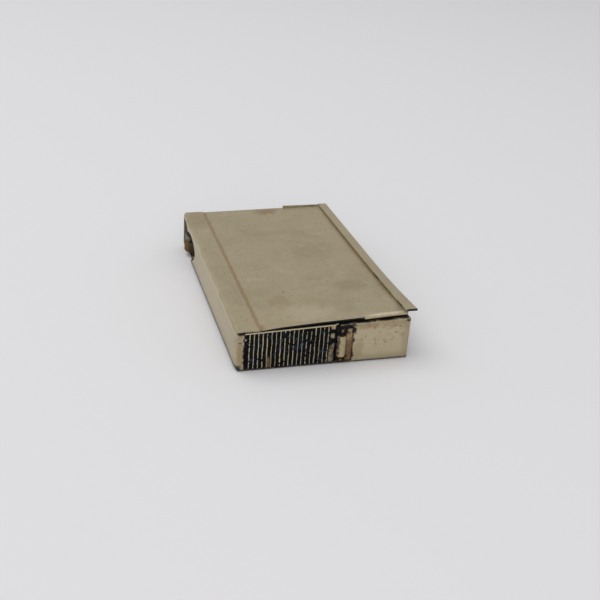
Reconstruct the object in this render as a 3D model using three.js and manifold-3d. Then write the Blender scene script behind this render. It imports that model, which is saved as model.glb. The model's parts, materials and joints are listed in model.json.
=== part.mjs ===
// A flat pocket striker lighter in nickel silver sheet, in millimetres, lying on its back.
// +X runs across the case, +Y along it away from the ribbed striker end, +Z up.
// The origin is the middle of the case's footprint, on the surface that it lies on.

import * as THREE from 'three';
import { mergeVertices } from 'three/addons/utils/BufferGeometryUtils.js';
import Module from 'manifold-3d';

const wasm = await Module();
wasm.setup();

// Case: one folded sheet
const caseWidth = 35;
const caseLength = 58.5;
const caseSheet = 0.35;
const rimLeft = 8.13;
const rimRightNear = 9.22;
const rimRightFar = 8.75;
const cornerRadius = 0.9;
const farLeftCorner = 0.4;
const rimDipLength = 2.4;
const rimDipWidth = 1.1;
const rimDip = 0.72;
const footRadius = 0.45;
const footRadiusLeft = 1.35;

// Gaps between pieces that are pressed or soldered together, and between pieces that move
const seat = 0.1;
const solder = 0.05;
const run = 0.12;
const boreGap = 0.06;
const chamfer = 0.15;

// Left band: the left wall folded over the flint channel
const bandWidth = 4.55;
const bandSheet = 0.22;
const bandTop = 8.66;
const foldRadius = 0.75;
const bandCorner = 0.3;

// Far wall's raised lip, which stops the closed lid
const lipWidth = 8.9;
const lipRise = 0.7;

// Sliding lid
const lidSheet = 0.26;
const lidTopLeft = 8.55;
const lidTopRightNear = 10.1;
const lidTopRightFar = 9.1;
const lidCrown = 0.22;
const lidNearLift = 0.2;
const lidToRightFace = 1.1;
const lidTravel = 28;
const pullWidth = 8.6;
const pullDrop = 0.45;
const pullBend = 0.9;
const pullFromRight = 0.15;
const tongueUnderBand = 1.1;
const tongueUnderLid = 1.7;
const tongueSheet = 0.25;

// Right rail, soldered inside the right wall and sprung up at its near end
const railSheet = 0.42;
const railWidth = 1.9;
const railOverhang = 0.05;
const railLegDepth = 2.6;
const railLegSheet = 0.3;
const railFreeLength = 22;
const railSpring = 0.04;
const railSplay = 0.75;
const railFlare = 0.5;

// Doorway in the near wall, with the frame soldered behind it
const doorLeft = 1.6;
const doorBeyondPin = 2.3;
const doorSill = 0.36;
const doorCorner = 1;
const lintelHeight = 0.42;
const frameSheet = 0.3;
const frameTopRail = 1.75;
const frameBottomRail = 0.85;
const frameBeyondDoor = 1.2;
const frameStile = 0.8;

// Striker flap
const flapSheet = 0.28;
const flapTopBelowRim = 0.02;
const plateSheet = 0.18;
const ribHeight = 0.24;
const ribCount = 19;
const ribFoot = 0.46;
const ribCrest = 0.26;
const firstRibFromEdge = 0.91;
const lastRibFromEdge = 1.53;
const ribRim = 0.26;
const plateMargin = 0.55;
const studRadius = 0.3;
const studZ = 6.74;
const studIn = 0.14;

// Vertical hinge of the flap
const pinX = 20.9;
const pinY = 0.36;
const pinRadius = 0.3;
const pinHeadRadius = 0.44;
const pinHeadHeight = 0.75;
const knuckleRadius = 0.86;
const knuckleBottom = 1.7;
const knuckleHeight = 4.35;
const tailLength = 2.2;
const tailSheet = 0.26;
const earSheet = 0.35;
const earReach = 0.72;
const leafWidth = 2.7;
const leafSheet = 0.3;
const leafTop = 7.35;
const leafFromPin = 1.02;
const leafCorner = 0.7;

// Fuel chamber behind the flap
const channelWidth = 4.75;
const bulkheadSheet = 0.3;
const bulkheadHeight = 7.1;
const burnerBayLength = 13.6;
const fillerRoom = 4.6;
const waddingHeight = 6.4;
const feltSheet = 0.5;
const fillingCorner = 1;

// Wheels in the cut-away corner
const wheelX = 2.4;
const wheelFromFarFace = 5;
const spindleRadius = 0.5;
const thumbWheelRadius = 3;
const thumbWheelWidth = 2.5;
const thumbWheelTeeth = 36;
const thumbToothDepth = 0.13;
const sparkWheelRadius = 2.85;
const sparkWheelWidth = 1.3;
const sparkWheelTeeth = 32;
const sparkToothDepth = 0.16;
const washerRadius = 1.3;
const washerSheet = 0.3;
const wheelFloorGap = 1;
const notchLength = 14.8;
const notchFoot = 8.1;
const notchBrow = 7.2;
const notchHip = 4.9;
const slitLength = 3;
const slitTop = 7.6;
const tonguePoint = 6.2;
const tongueFromFarWall = 5.2;

// Flint tube, pressed towards the spark wheel
const flintTubeRadius = 1.6;
const flintBore = 1.25;
const flintRadius = 1.1;
const flintLength = 4.6;
const flintShows = 0.55;
const followerLength = 2.8;
const flintTubeNear = 3.2;
const screwShank = 8.5;
const screwHeadRadius = 1.55;
const screwHeadHeight = 0.9;
const screwSlot = 0.4;
const springRadius = 0.8;
const springWire = 0.32;
const springTurns = 14;

// Burner
const burnerX = 8.4;
const burnerZ = 3.6;
const burnerRadius = 1.75;
const burnerBore = 1.35;
const burnerLength = 6.4;
const burnerFlangeRadius = 2.35;
const burnerFlange = 0.4;
const wickRadius = 1.2;
const wickShows = 1.6;
const wickTaper = 0.5;

// Derived places, measured from the case's left, near and bottom faces
const inside = caseSheet + seat;
const floorTop = caseSheet;
const innerFoot = footRadiusLeft - caseSheet;
const wheelY = caseLength - wheelFromFarFace;
const lidLeft = bandWidth + run;
const lidRight = caseWidth - lidToRightFace;
const lidFar = caseLength - seat;
const lipFar = caseLength - caseSheet - run;
const railInner = caseWidth + railOverhang - railWidth;
const lipRight = railInner - seat;
const lipLeft = lipRight - lipWidth;
const railLegOuter = caseWidth - caseSheet - seat;
const flapLeft = doorLeft + run;
const flapRight = pinX - knuckleRadius;
const plateRight = flapRight - plateMargin;
const lintelFrom = flapRight + 2 * run;
const doorRight = pinX + doorBeyondPin;
const flapBottom = doorSill + run;
const plateBack = ribHeight + plateSheet;
const flapFront = plateBack + solder;
const flapBack = flapFront + flapSheet;
const frameFront = flapBack + run;
const frameBack = frameFront + frameSheet;
const channelRight = caseSheet + channelWidth;
const bulkheadFar = caseLength - burnerBayLength;
const chamberLeft = channelRight + bulkheadSheet;
const chamberRight = railLegOuter - railLegSheet - seat;
const thumbWheelBottom = floorTop + wheelFloorGap;
const sparkWheelBottom = thumbWheelBottom + thumbWheelWidth + seat;
const flintZ = sparkWheelBottom + sparkWheelWidth / 2;
const sparkWheelNear = wheelY - sparkWheelRadius;
const flintTip = sparkWheelNear - run;
const flintTubeFar = flintTip - flintShows;

function rimAt(x) {
  return rimLeft + ((rimRightNear - rimLeft) * x) / caseWidth;
}

function rimSurface(x, y) {
  const right = rimRightNear + ((rimRightFar - rimRightNear) * y) / caseLength;
  return rimLeft + ((right - rimLeft) * x) / caseWidth;
}

// 1 at the near end, falling to 0 where the rail is held
function towardsNearEnd(y) {
  return Math.max(0, 1 - y / railFreeLength) ** 2;
}

function lidRightTop(y) {
  const straight = lidTopRightNear + ((lidTopRightFar - lidTopRightNear) * y) / caseLength;
  return straight + lidNearLift * towardsNearEnd(y);
}

function lidTop(x, y) {
  const share = (x - lidLeft) / (lidRight - lidLeft);
  const crown = lidCrown * Math.sin(Math.PI * Math.sqrt(share)) * (1 - y / caseLength);
  return lidTopLeft + (lidRightTop(y) - lidTopLeft) * share + crown;
}

// Solids
function toManifold(geometry) {
  const bare = geometry.clone();
  bare.deleteAttribute('normal');
  bare.deleteAttribute('uv');
  const merged = mergeVertices(bare, 1e-5);
  return new wasm.Manifold(new wasm.Mesh({
    numProp: 3,
    vertProperties: new Float32Array(merged.attributes.position.array),
    triVerts: new Uint32Array(merged.index.array),
  }));
}

function toGeometry(solid) {
  const mesh = solid.getMesh();
  const geometry = new THREE.BufferGeometry();
  geometry.setAttribute('position', new THREE.BufferAttribute(new Float32Array(mesh.vertProperties), 3));
  geometry.setIndex(new THREE.BufferAttribute(new Uint32Array(mesh.triVerts), 1));
  return geometry;
}

function box(x0, x1, y0, y1, z0, z1, nx = 1, ny = 1) {
  const geometry = new THREE.BoxGeometry(x1 - x0, y1 - y0, z1 - z0, nx, ny, 1);
  return geometry.translate((x0 + x1) / 2, (y0 + y1) / 2, (z0 + z1) / 2);
}

// A flat outline raised along +Z
function raised(shape, z0, z1, curveSegments = 6) {
  const geometry = new THREE.ExtrudeGeometry(shape, { depth: z1 - z0, bevelEnabled: false, curveSegments });
  return geometry.translate(0, 0, z0);
}

// An outline drawn in X and Z, run along +Y
function alongY(shape, y0, y1, curveSegments = 6) {
  const geometry = new THREE.ExtrudeGeometry(shape, { depth: y1 - y0, bevelEnabled: false, curveSegments });
  return geometry.rotateX(Math.PI / 2).translate(0, y1, 0);
}

// An outline drawn in Y and Z, run along +X
function alongX(shape, x0, x1, curveSegments = 6) {
  const geometry = new THREE.ExtrudeGeometry(shape, { depth: x1 - x0, bevelEnabled: false, curveSegments });
  const turn = new THREE.Matrix4().makeBasis(
    new THREE.Vector3(0, 1, 0), new THREE.Vector3(0, 0, 1), new THREE.Vector3(1, 0, 0));
  return geometry.applyMatrix4(turn).translate(x0, 0, 0);
}

// A profile of radius and height turned about a vertical axis
function turned(profile, x, y, sides = 32) {
  const points = profile.map(([r, z]) => new THREE.Vector2(r, z));
  const geometry = new THREE.LatheGeometry(points, sides);
  return geometry.rotateX(Math.PI / 2).translate(x, y, 0);
}

// The same, about an axis along Y
function turnedAlongY(profile, x, z, sides = 24) {
  const points = profile.map(([r, y]) => new THREE.Vector2(r, y));
  return new THREE.LatheGeometry(points, sides).translate(x, 0, z);
}

function rod(radius, y0, y1, x, z, sides = 24) {
  return turnedAlongY([[0, y0], [radius, y0], [radius, y1], [0, y1]], x, z, sides);
}

function post(radius, z0, z1, x, y, sides = 24) {
  return turned([[0, z0], [radius, z0], [radius, z1], [0, z1]], x, y, sides);
}

function polygon(points) {
  return new THREE.Shape(points.map(([u, v]) => new THREE.Vector2(u, v)));
}

function roundedRectangle(u0, u1, v0, v1, radii) {
  const [a, b, c, d] = radii;
  const shape = new THREE.Shape();
  shape.moveTo(u0 + a, v0);
  shape.lineTo(u1 - b, v0);
  if (b > 0) shape.absarc(u1 - b, v0 + b, b, -Math.PI / 2, 0, false);
  shape.lineTo(u1, v1 - c);
  if (c > 0) shape.absarc(u1 - c, v1 - c, c, 0, Math.PI / 2, false);
  shape.lineTo(u0 + d, v1);
  if (d > 0) shape.absarc(u0 + d, v1 - d, d, Math.PI / 2, Math.PI, false);
  shape.lineTo(u0, v0 + a);
  if (a > 0) shape.absarc(u0 + a, v0 + a, a, Math.PI, Math.PI * 1.5, false);
  return shape;
}

// Moves each point of a flat sheet, so that it can bow or twist
function bent(geometry, move) {
  const position = geometry.attributes.position;
  for (let i = 0; i < position.count; i++) {
    const [x, y, z] = move(position.getX(i), position.getY(i), position.getZ(i));
    position.setXYZ(i, x, y, z);
  }
  return geometry;
}

function joined(...geometries) {
  return geometries.map(toManifold).reduce((whole, next) => whole.add(next));
}

const finishes = {
  nickelSilver: { color: 0xa39a80, roughness: 0.42, metalness: 0.9 },
  brass: { color: 0x9a7434, roughness: 0.4, metalness: 0.9 },
  steel: { color: 0x8d8c88, roughness: 0.45, metalness: 0.9 },
  rust: { color: 0x7a5f48, roughness: 0.8, metalness: 0.4 },
  striker: { color: 0x8f8a74, roughness: 0.5, metalness: 0.8 },
  flint: { color: 0x4a4846, roughness: 0.7, metalness: 0.6 },
  cotton: { color: 0xe6e0d0, roughness: 1, metalness: 0 },
  felt: { color: 0xc9bfa6, roughness: 1, metalness: 0 },
};

const lighter = new THREE.Group();
lighter.position.set(-caseWidth / 2, -caseLength / 2, 0);

function piece(name, finish, shape) {
  const geometry = shape.isBufferGeometry ? shape : toGeometry(shape);
  const mesh = new THREE.Mesh(geometry, new THREE.MeshStandardMaterial(finishes[finish]));
  mesh.name = name;
  lighter.add(mesh);
}

// Case shell
function caseShell() {
  const height = lidTopRightNear;
  const corners = [cornerRadius, cornerRadius, cornerRadius, farLeftCorner];
  const feet = [footRadius, footRadius, 0, 0];
  const frontFeet = [footRadiusLeft, footRadius, 0, 0];
  const plan = toManifold(raised(roundedRectangle(0, caseWidth, 0, caseLength, corners), 0, height));
  const front = toManifold(alongY(roundedRectangle(0, caseWidth, 0, height, frontFeet), -1, caseLength + 1));
  const side = toManifold(alongX(roundedRectangle(0, caseLength, 0, height, feet), -1, caseWidth + 1));
  const innerRadius = cornerRadius - caseSheet;
  const innerCorners = [innerRadius, innerRadius, innerRadius, 0];
  const hollowPlan = toManifold(raised(
    roundedRectangle(caseSheet, caseWidth - caseSheet, caseSheet, caseLength - caseSheet, innerCorners),
    floorTop, height + 1));
  const hollowFront = toManifold(alongY(
    roundedRectangle(caseSheet, caseWidth - caseSheet, floorTop, height + 1, [innerFoot, 0, 0, 0]),
    0, caseLength));
  const hollow = hollowPlan.intersect(hollowFront);
  const below = toManifold(bent(
    box(-1, caseWidth + 1, -1, caseLength + 1, -1, 1, 8, 8),
    (x, y, z) => [x, y, z < 0 ? z : rimSurface(x, y)]));
  let shell = plan.intersect(front).intersect(side).subtract(hollow).intersect(below);

  const band = new THREE.Shape();
  const bandUnder = bandTop - bandSheet;
  band.moveTo(0, footRadius + caseSheet);
  band.lineTo(caseSheet, footRadius + caseSheet);
  band.lineTo(caseSheet, bandTop - foldRadius);
  band.lineTo(bandSheet, bandTop - foldRadius);
  band.absarc(foldRadius, bandTop - foldRadius, foldRadius - bandSheet, Math.PI, Math.PI / 2, true);
  band.lineTo(bandWidth, bandUnder);
  band.lineTo(bandWidth, bandTop);
  band.lineTo(foldRadius, bandTop);
  band.absarc(foldRadius, bandTop - foldRadius, foldRadius, Math.PI / 2, Math.PI, false);
  const fold = toManifold(alongY(band, cornerRadius, caseLength - cornerRadius));
  const foldEnds = toManifold(alongY(band, caseSheet, caseLength - caseSheet))
    .intersect(toManifold(box(-1, bandWidth, 0, caseLength, rimLeft, bandTop)));
  const bandPlan = toManifold(raised(
    roundedRectangle(0, bandWidth, 0, caseLength, [bandCorner, 0, 0, bandCorner]), bandUnder, bandTop));
  const bandOver = toManifold(alongY(
    roundedRectangle(0, bandWidth, 0, bandTop, [0, 0, 0, foldRadius]), 0, caseLength));
  shell = shell.add(fold).add(foldEnds).add(bandPlan.intersect(bandOver));

  shell = shell.add(toManifold(box(
    lipLeft, lipRight, caseLength - caseSheet, caseLength,
    rimLeft - 1, rimSurface(lipRight, caseLength) + lipRise)));

  const dip = polygon([
    [caseWidth - rimDipWidth, height], [caseWidth - rimDipWidth, rimRightNear],
    [caseWidth, rimRightNear - rimDip], [caseWidth + 1, rimRightNear - rimDip], [caseWidth + 1, height]]);
  shell = shell.subtract(toManifold(alongY(dip, -1, rimDipLength)));

  const doorway = toManifold(alongY(
    roundedRectangle(doorLeft, doorRight, doorSill, rimAt(doorRight) - lintelHeight, [0, 0, doorCorner, 0]),
    -1, inside));
  const flapSlot = toManifold(box(doorLeft, lintelFrom, -1, inside, doorSill, bandUnder - seat));
  const flapSlotHigh = toManifold(box(bandWidth, lintelFrom, -1, inside, doorSill, height));
  shell = shell.subtract(doorway).subtract(flapSlot).subtract(flapSlotHigh);

  const far = caseLength - caseSheet;
  const near = far - notchLength;
  const notch = new THREE.Shape();
  notch.moveTo(far, floorTop);
  notch.lineTo(far, slitTop);
  notch.lineTo(far - slitLength, slitTop);
  notch.lineTo(far - tongueFromFarWall, tonguePoint);
  notch.quadraticCurveTo(near + (notchLength - notchFoot) / 2, notchBrow + 1, near, notchHip);
  notch.quadraticCurveTo(near, notchHip / 2, far - notchFoot, floorTop);
  return shell.subtract(toManifold(alongX(notch, -1, inside, 12)));
}

piece('case_shell', 'nickelSilver', caseShell());

// Right rail: a strip over the lid's edge, with a leg soldered inside the wall
function rightRail() {
  const outer = railInner + railWidth;
  const under = (y) => lidRightTop(y) + run + railSpring * towardsNearEnd(y);
  const strip = bent(
    box(railInner, outer, 0, caseLength - seat, 0, railSheet, 1, 16),
    (x, y, z) => [
      x + towardsNearEnd(y) * (railSplay + (railFlare * (x - railInner)) / railWidth - railFlare),
      y,
      z + under(y),
    ]);
  const legFar = caseLength - caseSheet - cornerRadius;
  const leg = bent(
    box(railLegOuter - railLegSheet, railLegOuter, railFreeLength, legFar, 0, 1, 1, 8),
    (x, y, z) => [x, y, z > 0.5 ? under(y) + railSheet / 2 : under(y) - railLegDepth]);
  return joined(strip, leg);
}

// Lid: a twisted sheet whose near edge is rolled down to a pull at the right
function lidPanel() {
  const settle = (x, y, z) => [x, y, z + lidTop(x, y)];
  const pullRight = lidRight - pullFromRight;
  const pullLeft = pullRight - pullWidth;
  const sheet = toManifold(bent(box(lidLeft, lidRight, 0, lidFar, -lidSheet, 0, 8, 10), settle));
  const overPull = toManifold(box(pullLeft, pullRight, -1, pullBend, 0, lidTopRightNear + 1));
  const overLip = toManifold(box(lipLeft - run, caseWidth, lipFar, caseLength, 0, lidTopRightNear + 1));
  const roll = new THREE.Shape();
  roll.moveTo(pullBend + solder, 0);
  roll.lineTo(pullBend, 0);
  roll.quadraticCurveTo(0, 0, 0, -pullDrop);
  roll.lineTo(lidSheet, -pullDrop);
  roll.quadraticCurveTo(lidSheet, -lidSheet, pullBend, -lidSheet);
  roll.lineTo(pullBend + solder, -lidSheet);
  const pull = toManifold(bent(alongX(roll, pullLeft, pullRight), settle));
  return sheet.subtract(overPull).subtract(overLip).add(pull);
}

function lidTongue() {
  const left = bandWidth - tongueUnderBand;
  const right = lidLeft + tongueUnderLid;
  const height = lidTop(lidLeft, lidFar) - lidSheet - seat;
  return box(left, right, frameBack + lidTravel + run, lipFar, height - tongueSheet, height);
}

piece('right_rail', 'nickelSilver', rightRail());
piece('lid_panel', 'nickelSilver', lidPanel());
piece('lid_tongue', 'nickelSilver', lidTongue());

// Frame soldered behind the doorway, open on the hinge side
function doorFrame() {
  const right = doorRight + frameBeyondDoor;
  const top = rimAt(flapLeft) - seat;
  const bottom = floorTop + seat;
  const shape = new THREE.Shape();
  shape.moveTo(inside + innerFoot, bottom);
  shape.lineTo(right, bottom);
  shape.lineTo(right, bottom + frameBottomRail);
  shape.lineTo(inside + frameStile, bottom + frameBottomRail);
  shape.lineTo(inside + frameStile, top - frameTopRail);
  shape.lineTo(right, top - frameTopRail);
  shape.lineTo(right, top);
  shape.lineTo(inside, top);
  shape.lineTo(inside, bottom + innerFoot);
  return alongY(shape, frameFront, frameBack);
}

const studX = flapLeft + studIn;
const studNotch = () => post(studRadius + run, -1, frameBack, 0, 0, 16)
  .rotateX(-Math.PI / 2).translate(studX, 0, studZ);

// Striker flap: a door sheet with a ribbed plate soldered to its face
function flapSheetSolid() {
  const top = (x) => rimAt(x) - flapTopBelowRim;
  const outline = polygon([
    [flapLeft, flapBottom], [flapRight, flapBottom],
    [flapRight, top(flapRight)], [flapLeft, top(flapLeft)]]);
  return toManifold(alongY(outline, flapFront, flapBack)).subtract(toManifold(studNotch()));
}

function strikerPlate() {
  const right = plateRight;
  const first = flapLeft + firstRibFromEdge;
  const pitch = (right - lastRibFromEdge - first) / (ribCount - 1);
  const points = [[flapLeft, plateBack], [flapLeft, ribHeight]];
  for (let i = 0; i < ribCount; i++) {
    const middle = first + i * pitch;
    points.push([middle - ribFoot / 2, ribHeight], [middle - ribCrest / 2, 0]);
    points.push([middle + ribCrest / 2, 0], [middle + ribFoot / 2, ribHeight]);
  }
  points.push([right, ribHeight], [right, plateBack]);
  const ribs = toManifold(raised(polygon(points), flapBottom, rimRightNear));
  const top = (x) => rimAt(x) - flapTopBelowRim;
  const outline = polygon([
    [flapLeft, flapBottom], [right, flapBottom], [right, top(right)], [flapLeft, top(flapLeft)]]);
  const rim = polygon([
    [flapLeft, top(flapLeft) - ribRim], [right, top(right) - ribRim],
    [right, top(right)], [flapLeft, top(flapLeft)]]);
  return ribs.intersect(toManifold(alongY(outline, 0, plateBack)))
    .add(toManifold(alongY(rim, 0, plateBack)))
    .subtract(toManifold(studNotch()));
}

// Knuckle with the tail that is soldered behind the flap
function flapKnuckle() {
  const bore = pinRadius + boreGap;
  const middle = knuckleBottom + knuckleHeight / 2;
  const barrel = toManifold(post(knuckleRadius, knuckleBottom, knuckleBottom + knuckleHeight, pinX, pinY));
  const tail = toManifold(box(
    flapRight - tailLength, pinX, flapBack + solder, flapBack + solder + tailSheet,
    middle - knuckleHeight / 2 + run, middle + knuckleHeight / 2 - run));
  return barrel.add(tail).subtract(toManifold(post(bore, 0, rimRightNear, pinX, pinY)));
}

// C-shaped leaf: its ears hold the pin above and below the knuckle
function hingeLeaf() {
  const left = pinX + leafFromPin;
  const front = inside;
  const back = front + leafSheet;
  const low = knuckleBottom - run - earSheet;
  const high = knuckleBottom + knuckleHeight + run;
  const web = toManifold(alongY(
    roundedRectangle(left, left + leafWidth, flapBottom, leafTop, [0, 0, 0, leafCorner]), front, back));
  const ear = (z) => joined(
    post(earReach, z, z + earSheet, pinX, pinY),
    box(pinX, left + leafWidth / 4, pinY, back, z, z + earSheet));
  const hole = toManifold(post(pinRadius + boreGap, 0, rimRightNear, pinX, pinY));
  const behind = toManifold(box(0, caseWidth, back, back + earReach, 0, rimRightNear));
  return web.add(ear(low)).add(ear(high)).subtract(hole).subtract(behind);
}

function hingePin() {
  const low = knuckleBottom - run - earSheet - seat;
  const high = knuckleBottom + knuckleHeight + run + earSheet + seat;
  const headLow = Math.max(floorTop + seat, low - pinHeadHeight);
  const headHigh = high + pinHeadHeight;
  return turned([
    [0, headLow], [pinHeadRadius - chamfer, headLow],
    [pinHeadRadius, headLow + chamfer], [pinHeadRadius, low],
    [pinRadius, low], [pinRadius, high], [pinHeadRadius, high], [pinHeadRadius, headHigh - chamfer],
    [pinHeadRadius - chamfer, headHigh], [0, headHigh],
  ], pinX, pinY, 20);
}

function catchStud() {
  const back = frameFront - seat;
  return turnedAlongY([
    [0, 0], [studRadius - chamfer, 0], [studRadius, chamfer], [studRadius, back], [0, back],
  ], studX, studZ, 16);
}

piece('door_frame', 'nickelSilver', doorFrame());
piece('striker_flap', 'nickelSilver', flapSheetSolid());
piece('striker_plate', 'striker', strikerPlate());
piece('flap_knuckle', 'nickelSilver', flapKnuckle());
piece('hinge_leaf', 'rust', hingeLeaf());
piece('hinge_pin', 'brass', hingePin());
piece('catch_stud', 'nickelSilver', catchStud());

// Bulkhead: an L in plan, between the flint channel, the fuel chamber and the burner bay
function bulkhead() {
  const near = frameBack + seat;
  const right = chamberRight;
  const plan = polygon([
    [channelRight, near], [chamberLeft, near], [chamberLeft, bulkheadFar - bulkheadSheet],
    [right, bulkheadFar - bulkheadSheet], [right, bulkheadFar], [channelRight, bulkheadFar]]);
  const hole = rod(burnerRadius + seat, near, caseLength, burnerX, burnerZ);
  const bottom = floorTop + seat;
  return toManifold(raised(plan, bottom, bottom + bulkheadHeight)).subtract(toManifold(hole));
}

const waddingNear = frameBack + fillerRoom;
const burnerNear = bulkheadFar - bulkheadSheet - seat - burnerFlange;
const waddingFar = burnerNear - seat;
const waddingTop = floorTop + seat + waddingHeight;

// A soft block that fills the chamber from wall to wall
function filling(z0, z1) {
  const corners = [fillingCorner, fillingCorner, fillingCorner, fillingCorner];
  const outline = roundedRectangle(
    chamberLeft + seat, chamberRight - seat, waddingNear, waddingFar, corners);
  return raised(outline, z0, z1, 3);
}

piece('bulkhead', 'nickelSilver', bulkhead());
piece('cotton_wadding', 'cotton', filling(floorTop + seat, waddingTop));
piece('felt_cover', 'felt', filling(waddingTop + seat, waddingTop + seat + feltSheet));

// Wheels on a vertical spindle between the floor and the band
function toothed(radius, depth, teeth, bottom, width) {
  const shape = new THREE.Shape();
  for (let i = 0; i < teeth * 2; i++) {
    const angle = (Math.PI * i) / teeth;
    const r = i % 2 ? radius - depth : radius;
    const [u, v] = [wheelX + r * Math.cos(angle), wheelY + r * Math.sin(angle)];
    if (i === 0) shape.moveTo(u, v);
    else shape.lineTo(u, v);
  }
  const bore = toManifold(post(spindleRadius + boreGap, 0, rimRightNear, wheelX, wheelY, 20));
  return toManifold(raised(shape, bottom, bottom + width)).subtract(bore);
}

function washer() {
  const bottom = sparkWheelBottom + sparkWheelWidth + seat;
  const bore = toManifold(post(spindleRadius + boreGap, 0, rimRightNear, wheelX, wheelY, 20));
  return toManifold(post(washerRadius, bottom, bottom + washerSheet, wheelX, wheelY)).subtract(bore);
}

piece('thumb_wheel', 'brass', toothed(
  thumbWheelRadius, thumbToothDepth, thumbWheelTeeth, thumbWheelBottom, thumbWheelWidth));
piece('spark_wheel', 'steel', toothed(
  sparkWheelRadius, sparkToothDepth, sparkWheelTeeth, sparkWheelBottom, sparkWheelWidth));
piece('wheel_washer', 'nickelSilver', washer());
piece('wheel_spindle', 'steel', post(
  spindleRadius, floorTop + seat, bandTop - bandSheet - seat, wheelX, wheelY, 20));

// Flint tube with its flint, follower, spring and screw
function flintTube() {
  const solid = toManifold(rod(flintTubeRadius, flintTubeNear, flintTubeFar, wheelX, flintZ, 28));
  return solid.subtract(toManifold(rod(flintBore, 0, caseLength, wheelX, flintZ, 24)));
}

const flintNear = flintTip - flintLength;
const followerNear = flintNear - seat - followerLength;
const screwFar = flintTubeNear + screwShank;

function flintSpring() {
  const start = screwFar + seat + springWire;
  const end = followerNear - seat - springWire;
  class Helix extends THREE.Curve {
    getPoint(t) {
      const angle = t * springTurns * Math.PI * 2;
      return new THREE.Vector3(
        wheelX + springRadius * Math.cos(angle),
        start + (end - start) * t,
        flintZ + springRadius * Math.sin(angle));
    }
  }
  const section = new THREE.Shape().absarc(0, 0, springWire / 2, 0, Math.PI * 2, false);
  return new THREE.ExtrudeGeometry(section, {
    steps: springTurns * 8, curveSegments: 5, bevelEnabled: false, extrudePath: new Helix() });
}

function flintScrew() {
  const headFar = flintTubeNear - seat;
  const headNear = headFar - screwHeadHeight;
  const solid = toManifold(turnedAlongY([
    [0, headNear], [screwHeadRadius - chamfer, headNear],
    [screwHeadRadius, headNear + chamfer], [screwHeadRadius, headFar],
    [flintRadius, headFar], [flintRadius, screwFar], [0, screwFar]], wheelX, flintZ));
  const slot = toManifold(box(
    wheelX - screwHeadRadius - 1, wheelX + screwHeadRadius + 1,
    headNear - 1, headNear + screwHeadHeight / 2,
    flintZ - screwSlot / 2, flintZ + screwSlot / 2));
  return solid.subtract(slot);
}

piece('flint_tube', 'brass', flintTube());
piece('flint', 'flint', rod(flintRadius, flintNear, flintTip, wheelX, flintZ, 16));
piece('flint_follower', 'brass', rod(flintRadius, followerNear, flintNear - seat, wheelX, flintZ, 16));
piece('flint_spring', 'steel', flintSpring());
piece('flint_screw', 'brass', flintScrew());

// Burner tube through the bulkhead, with its wick
function burnerTube() {
  const far = burnerNear + burnerLength;
  const flangeFar = burnerNear + burnerFlange;
  const solid = toManifold(turnedAlongY([
    [0, burnerNear], [burnerFlangeRadius, burnerNear], [burnerFlangeRadius, flangeFar],
    [burnerRadius, flangeFar], [burnerRadius, far], [0, far]], burnerX, burnerZ));
  return solid.subtract(toManifold(rod(burnerBore, 0, caseLength, burnerX, burnerZ, 24)));
}

function wick() {
  const far = burnerNear + burnerLength + wickShows;
  return turnedAlongY([
    [0, burnerNear], [wickRadius, burnerNear], [wickRadius, far - wickTaper],
    [wickRadius - wickTaper, far], [0, far]], burnerX, burnerZ, 16);
}

piece('burner_tube', 'brass', burnerTube());
piece('wick', 'cotton', wick());

export default lighter;
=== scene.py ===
# %% [markdown]
# A flat pocket lighter in nickel silver, dressed for its portrait.
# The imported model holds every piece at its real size. This script gives each one its finish: soft edges,
# patina, stains and pits, the dark crust between the striker's ribs, and the cotton and felt inside.
# Everything is in metres, in the model's own frame. A piece's points are made where it belongs, so that
# the piece itself stays at the origin.

# %% Load the frame
import json
import math

import bmesh
import bpy
from mathutils import Matrix, Vector, noise


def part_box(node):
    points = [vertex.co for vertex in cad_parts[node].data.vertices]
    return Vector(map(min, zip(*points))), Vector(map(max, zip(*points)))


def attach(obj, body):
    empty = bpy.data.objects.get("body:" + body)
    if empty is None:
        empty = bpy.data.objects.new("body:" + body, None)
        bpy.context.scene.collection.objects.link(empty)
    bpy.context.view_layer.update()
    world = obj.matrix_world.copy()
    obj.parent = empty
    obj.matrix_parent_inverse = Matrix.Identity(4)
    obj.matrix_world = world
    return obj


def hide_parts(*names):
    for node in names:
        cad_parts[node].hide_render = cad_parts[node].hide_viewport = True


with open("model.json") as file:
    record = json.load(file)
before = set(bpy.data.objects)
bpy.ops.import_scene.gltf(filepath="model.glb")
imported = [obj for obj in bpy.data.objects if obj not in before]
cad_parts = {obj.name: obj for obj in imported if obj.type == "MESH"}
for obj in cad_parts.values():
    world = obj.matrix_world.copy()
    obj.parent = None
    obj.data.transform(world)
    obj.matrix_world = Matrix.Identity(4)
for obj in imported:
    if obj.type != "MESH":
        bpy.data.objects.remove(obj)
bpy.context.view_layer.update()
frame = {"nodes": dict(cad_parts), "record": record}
MM = 0.001
nodes = frame["nodes"]
behaviour = frame["record"]["behaviour"]
body_of = {node: body for body, members in behaviour["bodies"].items() for node in members}
print("pieces in the frame:", len(nodes))


def low(node):
    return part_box(node)[0]


def high(node):
    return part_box(node)[1]


CORNER = Vector((low("case_shell").x, low("case_shell").y, 0))


def at(x, y, z):
    """A place given in millimetres from the case's left near bottom corner."""
    return CORNER + Vector((x, y, z)) * MM


CASE_WIDTH = (high("case_shell").x - low("case_shell").x) / MM
CASE_LENGTH = (high("case_shell").y - low("case_shell").y) / MM
RIM_LEFT = 8.13
RIM_SLOPE = (9.22 - RIM_LEFT) / CASE_WIDTH
print("case, mm:", round(CASE_WIDTH, 2), "x", round(CASE_LENGTH, 2))

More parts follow.
